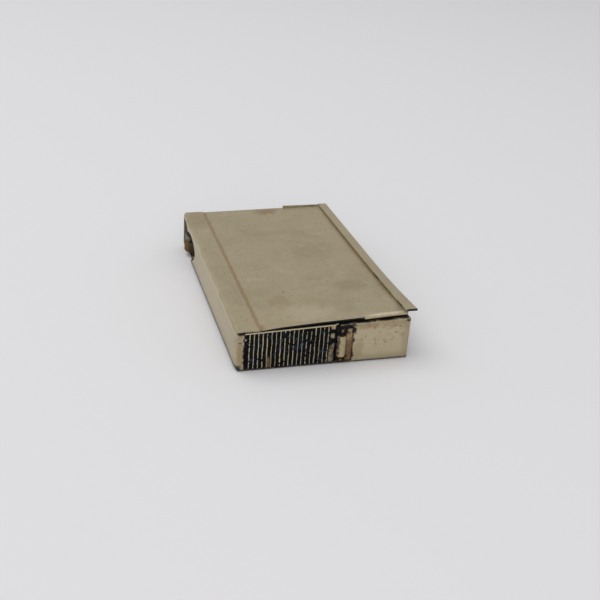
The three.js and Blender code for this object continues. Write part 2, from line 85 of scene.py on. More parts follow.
# %% [markdown]
# The camera stands where the photographer stood: a little to the left of the striker end and above it.
# A camera can be placed by hand, but here its angles come from the picture's own perspective, so the
# edges of the case converge as they do there. The slight tilt of the photograph is a roll about the
# line of sight.

# %% Camera
CAMERA_AZIMUTH = math.radians(-17.642)
CAMERA_ELEVATION = math.radians(27.097)
CAMERA_ROLL = math.radians(4.38)
CAMERA_DISTANCE = 208.33 * MM
CAMERA_TARGET = Vector((2.915, -2.143, 0)) * MM
CAMERA_LENS = 57.22
SENSOR_WIDTH = 36


def add_camera():
    data = bpy.data.cameras.new("portrait")
    data.sensor_width = SENSOR_WIDTH
    data.lens = CAMERA_LENS
    data.clip_start = 5 * MM
    data.clip_end = 20
    camera = bpy.data.objects.new("portrait", data)
    bpy.context.scene.collection.objects.link(camera)
    back = Vector((
        math.sin(CAMERA_AZIMUTH) * math.cos(CAMERA_ELEVATION),
        -math.cos(CAMERA_AZIMUTH) * math.cos(CAMERA_ELEVATION),
        math.sin(CAMERA_ELEVATION)))
    right = (-back).cross(Vector((0, 0, 1))).normalized()
    up = right.cross(-back)
    turned_right = right * math.cos(CAMERA_ROLL) + up * math.sin(CAMERA_ROLL)
    turned_up = up * math.cos(CAMERA_ROLL) - right * math.sin(CAMERA_ROLL)
    turn = Matrix((turned_right, turned_up, back)).transposed()
    camera.matrix_world = Matrix.Translation(CAMERA_TARGET + back * CAMERA_DISTANCE) @ turn.to_4x4()
    bpy.context.scene.camera = camera


add_camera()

# %% [markdown]
# Sheet metal that has lived in a pocket has no sharp edge left. A bevel of a few hundredths of a millimetre
# catches the light along every fold. The model's meshes are loose triangles, so a copy is merged first,
# flat neighbours are dissolved into one face, and a live bevel then works on clean edges only. Normals
# weighted by area keep the wide panes flat, so that only the bevels and bends shade round.

# %% New pieces, and merged copies of the model's own
MERGE_DISTANCE = 0.002 * MM
FLAT_ANGLE = math.radians(0.6)
CURVED_ANGLE = math.radians(0.02)


def new_piece(name, mesh):
    piece = bpy.data.objects.new(name, mesh)
    bpy.context.scene.collection.objects.link(piece)
    return piece


def mesh_piece(name, work):
    """Turns a bmesh into an object whose faces point outwards."""
    bmesh.ops.recalc_face_normals(work, faces=work.faces)
    mesh = bpy.data.meshes.new(name)
    work.to_mesh(mesh)
    work.free()
    return new_piece(name, mesh)


def join_rings(work, rings):
    """Joins rings of points into a closed tube."""
    for near, far in zip(rings, rings[1:]):
        for i in range(len(near)):
            j = (i + 1) % len(near)
            work.faces.new((near[i], near[j], far[j], far[i]))
    work.faces.new(rings[0])
    work.faces.new(rings[-1])


def merged_copy(node, name, flat_angle):
    """A copy of a node's mesh with its points merged and its flat neighbours made one face."""
    mesh = nodes[node].data.copy()
    mesh.name = name
    work = bmesh.new()
    work.from_mesh(mesh)
    bmesh.ops.remove_doubles(work, verts=work.verts, dist=MERGE_DISTANCE)
    bmesh.ops.dissolve_limit(work, angle_limit=flat_angle, verts=work.verts, edges=work.edges)
    work.to_mesh(mesh)
    work.free()
    mesh.materials.clear()
    return new_piece(name, mesh)


def plain_mesh(piece):
    """Turns a piece with live modifiers into a plain mesh."""
    evaluated = piece.evaluated_get(bpy.context.evaluated_depsgraph_get())
    mesh = bpy.data.meshes.new_from_object(evaluated)
    mesh.name = piece.name
    piece.modifiers.clear()
    piece.data = mesh
    return piece


# %% Soft edges
BEVEL_ANGLE = math.radians(32)
PANE_WEIGHT = 90


def smooth_by_angle(piece, degrees=35):
    piece.data.shade_smooth()
    piece.data.set_sharp_from_angle(angle=math.radians(degrees))
    return piece


def soften(piece, width, segments=2):
    """Bevels a piece's sharp edges by a width in millimetres."""
    bevel = piece.modifiers.new("soft edges", "BEVEL")
    bevel.width = width * MM
    bevel.segments = segments
    bevel.limit_method = "ANGLE"
    bevel.angle_limit = BEVEL_ANGLE
    bevel.use_clamp_overlap = True
    bevel.miter_outer = "MITER_ARC"
    smooth_by_angle(plain_mesh(piece))
    panes = piece.modifiers.new("flat panes", "WEIGHTED_NORMAL")
    panes.mode = "FACE_AREA"
    panes.weight = PANE_WEIGHT
    panes.keep_sharp = True
    return plain_mesh(piece)


# %% Settling a finished piece
def settle(piece, node, material):
    """Gives a finished piece its material, its body and the node that it stands for."""
    piece.data.materials.clear()
    piece.data.materials.append(material)
    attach(piece, body_of[node])
    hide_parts(node)
    print(piece.name, "faces:", len(piece.data.polygons))
    return piece


def dress(node, name, material, width=0.05, segments=2, flat_angle=FLAT_ANGLE):
    return settle(soften(merged_copy(node, name, flat_angle), width, segments), node, material)

# %% [markdown]
# Shader groups hold the effects that several finishes share. Each has named inputs, so that a material only
# says how large and how strong. All of them read Object coordinates, in metres, so a pattern keeps its real
# size and stays on its piece when the lid slides or the flap swings.

# %% Building blocks for shader groups
FLOAT = "NodeSocketFloat"
VECTOR = "NodeSocketVector"


def new_group(name, **inputs):
    """A group that takes a place and the named inputs, and gives a mask."""
    tree = bpy.data.node_groups.new(name, "ShaderNodeTree")
    for label, value in {"Vector": (0, 0, 0), **inputs}.items():
        kind = VECTOR if isinstance(value, tuple) else FLOAT
        socket = tree.interface.new_socket(label.replace("_", " "), in_out="INPUT", socket_type=kind)
        socket.default_value = value
    tree.interface.new_socket("Mask", in_out="OUTPUT", socket_type=FLOAT)
    return tree, tree.nodes.new("NodeGroupInput").outputs, tree.nodes.new("NodeGroupOutput").inputs


def put(tree, kind, links=(), **settings):
    """Adds a node, sets its properties or input values, and links its inputs."""
    node = tree.nodes.new(kind)
    for key, value in settings.items():
        if hasattr(node, key):
            setattr(node, key, value)
        else:
            node.inputs[key.replace("_", " ")].default_value = value
    for source, target in links:
        tree.links.new(source, node.inputs[target])
    return node


def feed(tree, node, socket, value):
    """Links a socket, or writes a number into it."""
    if isinstance(value, (int, float)):
        node.inputs[socket].default_value = value
    else:
        tree.links.new(value, node.inputs[socket])


def calculate(tree, operation, first, second=None, clamp=False):
    node = put(tree, "ShaderNodeMath", operation=operation, use_clamp=clamp)
    feed(tree, node, 0, first)
    if second is not None:
        feed(tree, node, 1, second)
    return node.outputs[0]


def vector_step(tree, operation, *values):
    """One step of arithmetic on vectors."""
    links = [(value, place) for place, value in enumerate(values)]
    return put(tree, "ShaderNodeVectorMath", links, operation=operation).outputs


def ramp(tree, value, start, stop):
    """0 below start, 1 above stop, smooth between."""
    node = put(tree, "ShaderNodeMapRange", interpolation_type="SMOOTHSTEP")
    feed(tree, node, "Value", value)
    feed(tree, node, "From Min", start)
    feed(tree, node, "From Max", stop)
    return node.outputs["Result"]


def grain(tree, place, size, detail=4.0, roughness=0.6):
    """Noise whose features are as large as the size socket says, in metres."""
    node = put(tree, "ShaderNodeTexNoise", [(place, "Vector")], Detail=detail, Roughness=roughness)
    tree.links.new(calculate(tree, "DIVIDE", 1.0, size), node.inputs["Scale"])
    return node.outputs["Fac"]


# %% Clouds, pits and hairlines
def mottle_group():
    """Cloudy unevenness: its feature size, and the noise levels where it starts and is full."""
    tree, given, result = new_group("mottle", Size=2 * MM, Start=0.4, Stop=0.7)
    cloud = grain(tree, given["Vector"], given["Size"], 6.0)
    tree.links.new(ramp(tree, cloud, given["Start"], given["Stop"]), result["Mask"])
    return tree


def pits_group():
    """Small round pits: their spacing and radius, and the share of the cells that hold one."""
    tree, given, result = new_group("pits", Spacing=1 * MM, Radius=0.15 * MM, Share=0.3)
    scale = calculate(tree, "DIVIDE", 1.0, given["Spacing"])
    cells = put(tree, "ShaderNodeTexVoronoi", [(given["Vector"], "Vector"), (scale, "Scale")])
    reach = calculate(tree, "DIVIDE", given["Radius"], given["Spacing"])
    rim = ramp(tree, cells.outputs["Distance"], calculate(tree, "MULTIPLY", reach, 0.4), reach)
    pick = put(tree, "ShaderNodeSeparateColor", [(cells.outputs["Color"], "Color")])
    chosen = calculate(tree, "LESS_THAN", pick.outputs[0], given["Share"])
    tree.links.new(calculate(tree, "MULTIPLY", calculate(tree, "SUBTRACT", 1.0, rim), chosen), result["Mask"])
    return tree


def hairline_group():
    """Fine handling scratches that run mostly one way, from noise stretched along an axis."""
    tree, given, result = new_group("hairlines", Width=0.06 * MM, Length=6 * MM, Angle=0.3)
    turn = put(tree, "ShaderNodeVectorRotate", [(given["Vector"], "Vector"), (given["Angle"], "Angle")],
               rotation_type="Z_AXIS")
    across = calculate(tree, "DIVIDE", 1.0, given["Width"])
    along = calculate(tree, "DIVIDE", 1.0, given["Length"])
    size = put(tree, "ShaderNodeCombineXYZ", [(across, "X"), (along, "Y"), (across, "Z")])
    stretched = vector_step(tree, "MULTIPLY", turn.outputs["Vector"], size.outputs["Vector"])["Vector"]
    lines = put(tree, "ShaderNodeTexNoise", [(stretched, "Vector")], Scale=1.0, Detail=2.0)
    tree.links.new(ramp(tree, lines.outputs["Fac"], 0.6, 0.75), result["Mask"])
    return tree


# %% Stains and fades
STAIN_CORE = 0.35
STAIN_END = 1.1


def blotch_group():
    """One stain: an ellipsoid with a ragged, soft border, placed by its centre and half sizes."""
    tree, given, result = new_group(
        "blotch", Centre=(0, 0, 0), Half_Size=(2 * MM, 2 * MM, 2 * MM), Ragged=0.5, Grain=1.2 * MM)
    offset = vector_step(tree, "SUBTRACT", given["Vector"], given["Centre"])["Vector"]
    share = vector_step(tree, "DIVIDE", offset, given["Half Size"])["Vector"]
    reach = vector_step(tree, "LENGTH", share)["Value"]
    rough = calculate(tree, "SUBTRACT", grain(tree, given["Vector"], given["Grain"]), 0.5)
    wobble = calculate(tree, "MULTIPLY", calculate(tree, "MULTIPLY", rough, given["Ragged"]), 3.0)
    outside = ramp(tree, calculate(tree, "ADD", reach, wobble), STAIN_CORE, STAIN_END)
    tree.links.new(calculate(tree, "SUBTRACT", 1.0, outside), result["Mask"])
    return tree


def fade_group():
    """Grows from 0 to 1 between two distances along a direction, with an uneven border."""
    tree, given, result = new_group(
        "fade", Direction=(0, 0, 1), Start=0.0, Stop=1 * MM, Uneven=0.05 * MM, Grain=0.6 * MM)
    along = vector_step(tree, "DOT_PRODUCT", given["Vector"], given["Direction"])["Value"]
    rough = calculate(tree, "SUBTRACT", grain(tree, given["Vector"], given["Grain"]), 0.5)
    shifted = calculate(tree, "ADD", along, calculate(tree, "MULTIPLY", rough, given["Uneven"]))
    tree.links.new(ramp(tree, shifted, given["Start"], given["Stop"]), result["Mask"])
    return tree


MOTTLE = mottle_group()
PITS = pits_group()
HAIRLINES = hairline_group()
BLOTCH = blotch_group()
FADE = fade_group()
print("shader groups:", len(bpy.data.node_groups))

# %% [markdown]
# An old finish is a history: bare metal first, then tarnish, then dirt and scratches. The painter below
# builds a material in that order. Each layer mixes a colour by a mask, makes the surface duller, or raises
# and lowers it. Its sizes are in millimetres. A value that never varies stays on the shader's own socket.

# %% A painter that layers colour on a surface
def linear(red, green, blue):
    """A colour given as it looks, 0 to 255, as the linear values that a shader takes."""
    values = [v / 255 for v in (red, green, blue)]
    return tuple(v / 12.92 if v <= 0.04045 else ((v + 0.055) / 1.055) ** 2.4 for v in values) + (1.0,)


class Painter:
    """Builds one material, layer by layer."""

    def __init__(self, name, colour, roughness=0.5, metallic=0.0, shine=0.5):
        self.material = bpy.data.materials.new(name)
        self.material.use_nodes = True
        self.tree = self.material.node_tree
        self.tree.nodes.clear()
        self.place = put(self.tree, "ShaderNodeTexCoord").outputs["Object"]
        self.shader = put(self.tree, "ShaderNodeBsdfPrincipled")
        self.shader.inputs["Metallic"].default_value = metallic
        self.shader.inputs["Specular IOR Level"].default_value = shine
        put(self.tree, "ShaderNodeOutputMaterial", [(self.shader.outputs["BSDF"], "Surface")])
        self.colour = colour
        self.roughness = roughness
        self.height = None

    def effect(self, group, **values):
        node = put(self.tree, "ShaderNodeGroup", node_tree=group)
        self.tree.links.new(self.place, node.inputs["Vector"])
        for key, value in values.items():
            node.inputs[key.replace("_", " ")].default_value = value
        return node.outputs["Mask"]

    def mottle(self, size, start, stop):
        return self.effect(MOTTLE, Size=size * MM, Start=start, Stop=stop)

    def pits(self, spacing, radius, share):
        return self.effect(PITS, Spacing=spacing * MM, Radius=radius * MM, Share=share)

    def hairlines(self, width, length, angle):
        return self.effect(HAIRLINES, Width=width * MM, Length=length * MM, Angle=angle)

    def spot(self, x, y, z, half, ragged=0.6, size=1.2):
        """The mask of one blotch at a place, with its half sizes."""
        return self.effect(
            BLOTCH, Centre=at(x, y, z), Half_Size=Vector(half) * MM, Ragged=ragged, Grain=size * MM)

    def beyond(self, place, direction, width, uneven=0.05, size=0.6):
        """A mask that grows from a place on, in one direction, over a width."""
        start = place.dot(Vector(direction))
        return self.effect(FADE, Direction=direction, Start=start, Stop=start + width * MM,
                           Uneven=uneven * MM, Grain=size * MM)

    def both(self, first, second):
        """Where both masks are."""
        return calculate(self.tree, "MULTIPLY", first, second)

    def paint(self, mask, colour, strength=1.0):
        mix = put(self.tree, "ShaderNodeMixRGB", use_clamp=False)
        feed(self.tree, mix, "Fac", calculate(self.tree, "MULTIPLY", mask, strength))
        if isinstance(self.colour, tuple):
            mix.inputs["Color1"].default_value = self.colour
        else:
            self.tree.links.new(self.colour, mix.inputs["Color1"])
        mix.inputs["Color2"].default_value = colour
        self.colour = mix.outputs["Color"]
        return self

    def dull(self, mask, amount):
        change = calculate(self.tree, "MULTIPLY", mask, amount)
        self.roughness = calculate(self.tree, "ADD", change, self.roughness, clamp=True)
        return self

    def lift(self, mask, height):
        step = calculate(self.tree, "MULTIPLY", mask, height * MM)
        self.height = step if self.height is None else calculate(self.tree, "ADD", self.height, step)
        return self

    def cloud(self, size, start, stop, colour, strength):
        """Paints a colour in cloudy patches."""
        return self.paint(self.mottle(size, start, stop), colour, strength)

    def roughen(self, size, height, start=0.3, stop=0.7):
        """Raises the surface in cloudy patches, or sinks it."""
        return self.lift(self.mottle(size, start, stop), height)

    def stain(self, x, y, z, half, colour, strength, ragged=0.6, size=1.2):
        """Paints one blotch and gives its mask."""
        mask = self.spot(x, y, z, half, ragged, size)
        self.paint(mask, colour, strength)
        return mask

    def finish(self):
        if isinstance(self.colour, tuple):
            self.shader.inputs["Base Color"].default_value = self.colour
        else:
            self.tree.links.new(self.colour, self.shader.inputs["Base Color"])
        feed(self.tree, self.shader, "Roughness", self.roughness)
        if self.height is not None:
            bump = put(self.tree, "ShaderNodeBump", [(self.height, "Height")], Strength=1.0, Distance=1.0)
            self.tree.links.new(bump.outputs["Normal"], self.shader.inputs["Normal"])
        return self.material

# %% [markdown]
# Nickel silver goes warm and grey with age. Its finish is a stack: the metal's own colour, broad clouds of
# tarnish, finer freckles, handling scratches and a few pits. One function makes it, and each sheet adds
# the stains that are its own: brown beside the band, brown along the rail that also paints the shadow under
# its edge, grime round the hinge window. Some marks are painted light and shade: painted highlights on the
# lid's bend and the band's fold, painted light over the left wall and the near end, and painted shade in the
# gaps under the lid, the band and the rail and along the foot.
# A stain is placed by x, y and z from the case's left near bottom corner, and sized by its half sizes.

# %% Nickel silver
METAL = linear(160, 147, 119)
METAL_LIGHT = linear(178, 166, 139)
METAL_DARK = linear(136, 122, 94)
METAL_GREEN = linear(149, 143, 116)
BRIGHT = linear(216, 205, 180)
BROWN = linear(126, 99, 62)
# A dark colour for real grime and pits, also used as painted shade at the notch, the rail's edge and the
# hinge leaf.
GRIME_AND_SHADE = linear(50, 42, 34)
BLACK = linear(10, 10, 12)
EVERYWHERE = 300


def nickel_silver(name, tone=METAL, metallic=0.5, roughness=0.42):
    paint = Painter(name, tone, roughness, metallic)
    paint.cloud(9.0, 0.42, 0.7, METAL_DARK, 0.4)
    paint.cloud(5.0, 0.5, 0.75, METAL_LIGHT, 0.45)
    paint.cloud(3.5, 0.5, 0.72, METAL_GREEN, 0.4)
    freckles = paint.mottle(0.6, 0.5, 0.72)
    paint.paint(freckles, METAL_DARK, 0.5)
    paint.dull(freckles, 0.12)
    paint.cloud(0.28, 0.6, 0.74, METAL_LIGHT, 0.4)
    paint.paint(paint.hairlines(0.05, 7.0, 0.25), METAL_LIGHT, 0.25)
    paint.paint(paint.hairlines(0.06, 5.0, 1.9), METAL_DARK, 0.22)
    pits = paint.pits(1.4, 0.13, 0.14)
    paint.paint(pits, GRIME_AND_SHADE, 0.5)
    paint.lift(pits, -0.03)
    paint.roughen(4.0, 0.06, 0.2, 0.8)
    paint.lift(freckles, -0.004)
    return paint


# %% Stains of the case
def case_metal():
    paint = nickel_silver("nickel_silver_case")
    paint.roughen(0.9, 0.012, 0.35, 0.7)
    paint.roughen(1.3, -0.01, 0.55, 0.7)
    paint.paint(paint.pits(0.9, 0.16, 0.16), BROWN, 0.35)
    end_wall(paint)
    band_and_left_wall(paint)
    # Painted shade: the far lip's inner face is darkened, darkest beside the rail.
    paint.stain(23.5, 58.4, 9.6, (11.0, 0.7, 0.8), linear(126, 118, 96), 0.75, 0.4, 1.5)
    paint.stain(31.4, 58.4, 9.8, (2.6, 0.7, 0.8), linear(78, 74, 50), 0.8, 0.4, 1.0)
    return paint.finish()


def end_wall(paint):
    """The near end: brown freckles, soot round the hinge window, painted light over the face, painted shade
    under the lid and band and in the window's upper corner, a painted contact shadow along the foot, and
    darker towards the bottom.
    """
    # Painted light: the whole near end face is lightened, as if lit more from the front.
    paint.stain(28.0, 0.1, 4.6, (16.0, 0.8, 14.0), METAL_LIGHT, 0.6, 0.1, 3.0)
    # Brown tarnish at the top of the end wall, which also paints the shade below the lid's lip.
    paint.stain(25.5, 0.1, 8.0, (3.4, 0.9, 0.9), BROWN, 0.4, 0.5, 1.0)
    paint.stain(30.2, 0.1, 8.2, (6.0, 0.8, 1.2), BROWN, 0.4, 0.8, 0.9)
    for x, z in ((31.6, 7.55), (31.9, 6.1), (32.7, 7.3), (29.9, 4.0), (29.6, 4.5)):
        paint.stain(x, 0.1, z, (0.3, 0.8, 0.16), GRIME_AND_SHADE, 0.75, 0.8, 0.25)
    freckles = paint.mottle(0.8, 0.54, 0.64)
    upper_right = paint.spot(29.5, 0.1, 6.2, (8.5, 0.8, 4.0), 0.6, 2.0)
    paint.paint(paint.both(freckles, upper_right), BROWN, 0.45)
    paint.stain(34.2, 0.1, 4.0, (1.4, 0.8, 6.0), METAL_DARK, 0.4, 0.4, 2.0)
    paint.paint(paint.beyond(at(0, 0, 2.4), (0, 0, -1), 1.8, 1.2, 2.5), METAL_DARK, 0.5)
    # Painted shade: black in the curved gap between the leaf and the window's rounded upper right corner.
    paint.stain(23.35, 0.1, 7.1, (0.4, 0.8, 1.0), BLACK, 1.0, 0.5, 0.6)
    paint.stain(22.9, 0.1, 7.95, (0.7, 0.8, 0.3), BLACK, 1.0, 0.4, 0.6)
    paint.stain(23.2, 0.1, 4.95, (0.3, 0.8, 0.6), BLACK, 1.0, 0.9, 0.3)
    paint.stain(23.2, 0.1, 1.9, (0.35, 0.8, 1.1), BLACK, 1.0, 0.9, 0.3)
    paint.stain(24.3, 0.1, 2.6, (1.5, 0.8, 2.6), BROWN, 0.35)
    paint.stain(22.4, 0.1, 8.3, (1.7, 0.8, 0.4), BLACK, 0.9, 1.2, 0.35)
    # Painted shade: black along the top of the end wall, in the gap under the lid's near edge and under the
    # band's near end.
    for share in range(4):
        along = 20.5 + 4.6 * share
        paint.stain(along, 0.0, RIM_LEFT + RIM_SLOPE * along, (3.6, 0.6, 0.34), BLACK, 1.0, 0.25, 0.8)
    paint.stain(2.2, 0.0, 8.15, (4.2, 0.5, 0.5), BLACK, 1.0, 0.2, 0.8)
    paint.stain(0.9, 0.1, 4.0, (0.9, 0.7, 4.4), BROWN, 0.4, 1.0, 0.7)
    paint.stain(1.62, 0.1, 4.4, (0.26, 0.7, 3.8), BLACK, 1.0, 1.2, 0.5)
    paint.stain(0.8, 0.1, 6.2, (0.5, 0.7, 0.13), GRIME_AND_SHADE, 0.8, 0.8, 0.4)
    paint.stain(1.0, 0.1, 5.7, (0.4, 0.7, 0.1), GRIME_AND_SHADE, 0.7, 0.8, 0.4)
    paint.stain(34.4, 0.3, 8.6, (0.9, 0.9, 0.4), BLACK, 0.95, 1.0, 0.3)
    # Painted contact shadow: a black line along the bottom of the near end.
    paint.stain(17.5, -0.1, -0.1, (EVERYWHERE, 1.4, 0.75), BLACK, 1.0, 0.2, 0.8)


def band_and_left_wall(paint):
    """The folded band over the flint channel, and the wall under its fold, with a painted highlight on the
    fold, painted light on the wall, painted shade at its foot, round the notch and through it, and a painted
    light spot on the notch floor.
    """
    paint.stain(4.6, 29.0, 8.66, (0.36, EVERYWHERE, 0.6), BROWN, 0.6, 0.8, 1.2)
    paint.stain(2.6, 54.0, 8.66, (3.0, 6.0, 1.0), BROWN, 0.22)
    # Painted highlight along the band's fold, and painted light over the whole left wall's face.
    paint.stain(0.1, 30.0, 7.6, (0.5, 40.0, 0.9), BRIGHT, 0.4, 0.4, 3.0)
    paint.stain(0.1, 30.0, 4.5, (0.5, 44.0, 4.4), METAL_LIGHT, 0.9, 0.3, 3.0)
    # Painted contact shadow along the left wall's foot, with some grime.
    foot = paint.beyond(at(0, 0, 1.6), (0, 0, -1), 0.7, 0.5, 1.2)
    outer = paint.beyond(at(1.4, 0, 0), (-1, 0, 0), 0.7)
    paint.paint(paint.both(foot, outer), linear(46, 48, 42))
    # Painted shade along the notch's near edge, with grime.
    paint.stain(0.1, 50.0, 4.5, (0.6, 1.6, 3.2), GRIME_AND_SHADE, 0.8, 0.5, 0.8)
    # Painted shade: the far wall's inner face behind the notch is dark olive.
    paint.stain(1.5, 57.9, 4.5, (4.0, 0.4, 6.0), linear(62, 60, 38), 1.0, 0.3, 1.0)
    # Painted light: the shaded floor at the notch's tip is lightened.
    paint.stain(1.2, 51.3, 0.5, (1.5, 2.6, 0.6), BRIGHT, 1.0, 0.3, 1.0)


# %% Stains of the lid and the rail
def lid_metal():
    paint = nickel_silver("nickel_silver_lid")
    paint.stain(19.2, 56.8, 8.9, (3.4, 2.4, 1.5), BROWN, 0.6)
    paint.stain(4.75, 26.0, 8.7, (0.5, EVERYWHERE, 1.5), BROWN, 0.6, 0.8, 1.6)
    # Brown dirt along the rail, which also paints the shadow under the rail's inner edge.
    paint.stain(32.9, 30.0, 9.6, (0.6, 34.0, 1.8), BROWN, 0.35, 0.5, 2.0)
    paint.stain(15.5, 4.0, 9.4, (7.0, 4.0, 2.0), METAL_LIGHT, 0.5, 0.6, 2.0)
    paint.stain(27.0, 14.0, 9.6, (5.0, 3.0, 2.0), METAL_DARK, 0.5, 0.8, 2.0)
    paint.stain(24.0, 33.0, 9.3, (6.0, 5.0, 2.0), METAL_DARK, 0.4, 0.7, 2.5)
    paint.stain(10.8, 10.4, 9.1, (2.6, 3.0, 2.0), BROWN, 0.3, 0.9, 1.2)
    paint.stain(12.6, 14.0, 9.1, (0.3, 0.34, 1.0), GRIME_AND_SHADE, 0.6, 0.5, 0.4)
    paint.stain(14.6, 14.6, 9.2, (0.3, 0.22, 1.0), GRIME_AND_SHADE, 0.5, 0.5, 0.4)
    paint.stain(5.2, 1.2, 8.6, (0.9, 1.6, 1.5), BROWN, 0.4, 0.8, 0.8)
    # Painted highlight on the bend of the lid's pull.
    bend = paint.stain(29.4, 0.6, 10.1, (5.2, 0.55, 1.2), BRIGHT, 0.6, 0.3, 1.0)
    paint.dull(bend, -0.1)
    # Painted shade: the lid's near edge face is black, as the gap under it.
    near_edge = paint.beyond(at(0, 0.06, 0), (0, -1, 0), 0.05, 0.02)
    paint.paint(paint.both(near_edge, paint.beyond(at(25.2, 0, 0), (-1, 0, 0), 0.4)), BLACK)
    # Painted shade on the lip's face below the bend.
    paint.stain(29.4, 0.0, 9.75, (5.0, 0.16, 0.3), METAL_DARK, 0.7, 0.5, 0.8)
    return paint.finish()


def rail_metal():
    paint = nickel_silver("nickel_silver_rail")
    # Painted shadow line along the rail's inner edge, black near the near end.
    paint.stain(33.15, 16.0, 9.6, (0.12, 3.4, 1.2), BLACK, 0.9, 0.4, 0.9)
    paint.stain(33.22, 9.0, 9.6, (0.1, 7.0, 1.2), GRIME_AND_SHADE, 0.6, 0.4, 0.9)
    paint.stain(33.34, 2.6, 9.8, (0.14, 3.6, 1.2), BLACK, 0.95, 0.4, 0.7)
    # Painted shade on the rail's near end face.
    paint.stain(34.9, -0.05, 10.7, (2.6, 0.3, 1.0), BLACK, 1.0, 0.3, 0.5)
    paint.stain(35.0, 12.0, 10.6, (1.2, 10.0, 1.0), METAL_GREEN, 0.4, 0.7, 2.0)
    return paint.finish()


# %% Dress the sheets
dress("case_shell", "case", case_metal(), 0.06, 3)
dress("lid_panel", "lid", lid_metal(), flat_angle=CURVED_ANGLE)
dress("right_rail", "rail", rail_metal(), flat_angle=CURVED_ANGLE)
inner_finish = nickel_silver("nickel_silver_inside", METAL_DARK, 0.6, 0.5).finish()
for inner_node in ("lid_tongue", "bulkhead", "wheel_washer"):
    dress(inner_node, inner_node + "_sheet", inner_finish, 0.04)

# %% [markdown]
# The striker is a plate of upright ribs, filed unevenly and worn. Nineteen of them repeat, so they come from
# a Geometry Nodes tree: it takes one rib as its input mesh, sets a copy on each point of a line, makes each
# as tall as the sloping case rim, and bends them all a little with noise, as wear and filing do.

# %% One rib
RIB_COUNT = 19
FIRST_RIB = 2.63
LAST_RIB = 18.05
RIB_PITCH = (LAST_RIB - FIRST_RIB) / (RIB_COUNT - 1)
RIB_HEIGHT = 0.24
RIB_FOOT = 0.28
RIB_CREST = 0.1
RIB_SHOULDER = 0.04
RIB_ROUND = 0.05
RIB_WIDTHS = (0.75, 1.25)
PLATE_BOTTOM = low("striker_plate").z / MM
PLATE_LEFT = (low("striker_plate").x - CORNER.x) / MM
PLATE_RIGHT = (high("striker_plate").x - CORNER.x) / MM
PLATE_RIM = 0.26
print("striker plate from", round(PLATE_LEFT, 2), "to", round(PLATE_RIGHT, 2), "mm")


def plate_top(x):
    return RIM_LEFT + RIM_SLOPE * x - 0.02


def one_rib(height, steps=44):
    """A bar with a rounded crest facing -Y, one rib high, standing at x = 0."""
    crest = 0.01
    half = [(RIB_CREST / 4, crest), (RIB_CREST / 2 + RIB_SHOULDER, crest + RIB_ROUND),
            (RIB_FOOT / 2, RIB_HEIGHT), (RIB_FOOT / 2, RIB_HEIGHT + RIB_ROUND)]
    outline = [(-x, y) for x, y in reversed(half)] + half
    work = bmesh.new()
    levels = [height * k / steps for k in range(steps + 1)]
    join_rings(work, [[work.verts.new(Vector((x, y, z)) * MM) for x, y in outline] for z in levels])
    return mesh_piece("striker_ribs", work)


# %% The tree that repeats the rib
def rib_tree():
    tree = bpy.data.node_groups.new("row of ribs", "GeometryNodeTree")
    sockets = {}
    for label, kind, value in (
            ("Geometry", "NodeSocketGeometry", None), ("Count", "NodeSocketInt", RIB_COUNT),
            ("Pitch", FLOAT, RIB_PITCH * MM), ("Growth", FLOAT, 0.005), ("Bend", FLOAT, 0.08 * MM),
            ("Grain", FLOAT, 2 * MM), ("Seed", "NodeSocketInt", 3), ("Finish", "NodeSocketMaterial", None)):
        socket = tree.interface.new_socket(label, in_out="INPUT", socket_type=kind)
        if value is not None:
            socket.default_value = value
        sockets[label] = socket.identifier
    tree.interface.new_socket("Geometry", in_out="OUTPUT", socket_type="NodeSocketGeometry")
    given = tree.nodes.new("NodeGroupInput").outputs
    result = tree.nodes.new("NodeGroupOutput").inputs

    step = put(tree, "ShaderNodeCombineXYZ", [(given["Pitch"], "X")])
    row = put(tree, "GeometryNodeMeshLine", [(given["Count"], "Count"), (step.outputs[0], "Offset")])
    index = tree.nodes.new("GeometryNodeInputIndex").outputs[0]
    taller = calculate(tree, "ADD", calculate(tree, "MULTIPLY", index, given["Growth"]), 1.0)
    chance = put(tree, "FunctionNodeRandomValue", [(given["Seed"], "Seed")])
    # Two of the node's inputs are called Min, one for vectors and one for numbers, so these go by place.
    chance.inputs[2].default_value, chance.inputs[3].default_value = RIB_WIDTHS
    size = put(tree, "ShaderNodeCombineXYZ", [(chance.outputs[1], "X"), (taller, "Z")], Y=1.0)
    copies = put(tree, "GeometryNodeInstanceOnPoints", [
        (row.outputs["Mesh"], "Points"), (given["Geometry"], "Instance"), (size.outputs[0], "Scale")])
    real = put(tree, "GeometryNodeRealizeInstances", [(copies.outputs["Instances"], "Geometry")])

    place = tree.nodes.new("GeometryNodeInputPosition").outputs[0]
    wander = put(tree, "ShaderNodeTexNoise", [(place, "Vector")], Detail=3.0)
    tree.links.new(calculate(tree, "DIVIDE", 1.0, given["Grain"]), wander.inputs["Scale"])
    split = put(tree, "ShaderNodeSeparateXYZ", [(wander.outputs["Color"], "Vector")])
    centred = calculate(tree, "SUBTRACT", split.outputs["X"], 0.5)
    sideways = calculate(tree, "MULTIPLY", calculate(tree, "MULTIPLY", centred, given["Bend"]), 4.0)
    filed = calculate(tree, "ABSOLUTE", calculate(tree, "SUBTRACT", split.outputs["Y"], 0.45))
    worn = calculate(tree, "MULTIPLY", filed, given["Bend"])
    shift = put(tree, "ShaderNodeCombineXYZ", [(sideways, "X"), (worn, "Y")])
    bent = put(tree, "GeometryNodeSetPosition", [
        (real.outputs["Geometry"], "Geometry"), (shift.outputs[0], "Offset")])
    painted = put(tree, "GeometryNodeSetMaterial", [
        (bent.outputs["Geometry"], "Geometry"), (given["Finish"], "Material")])
    tree.links.new(painted.outputs["Geometry"], result["Geometry"])
    return tree, sockets


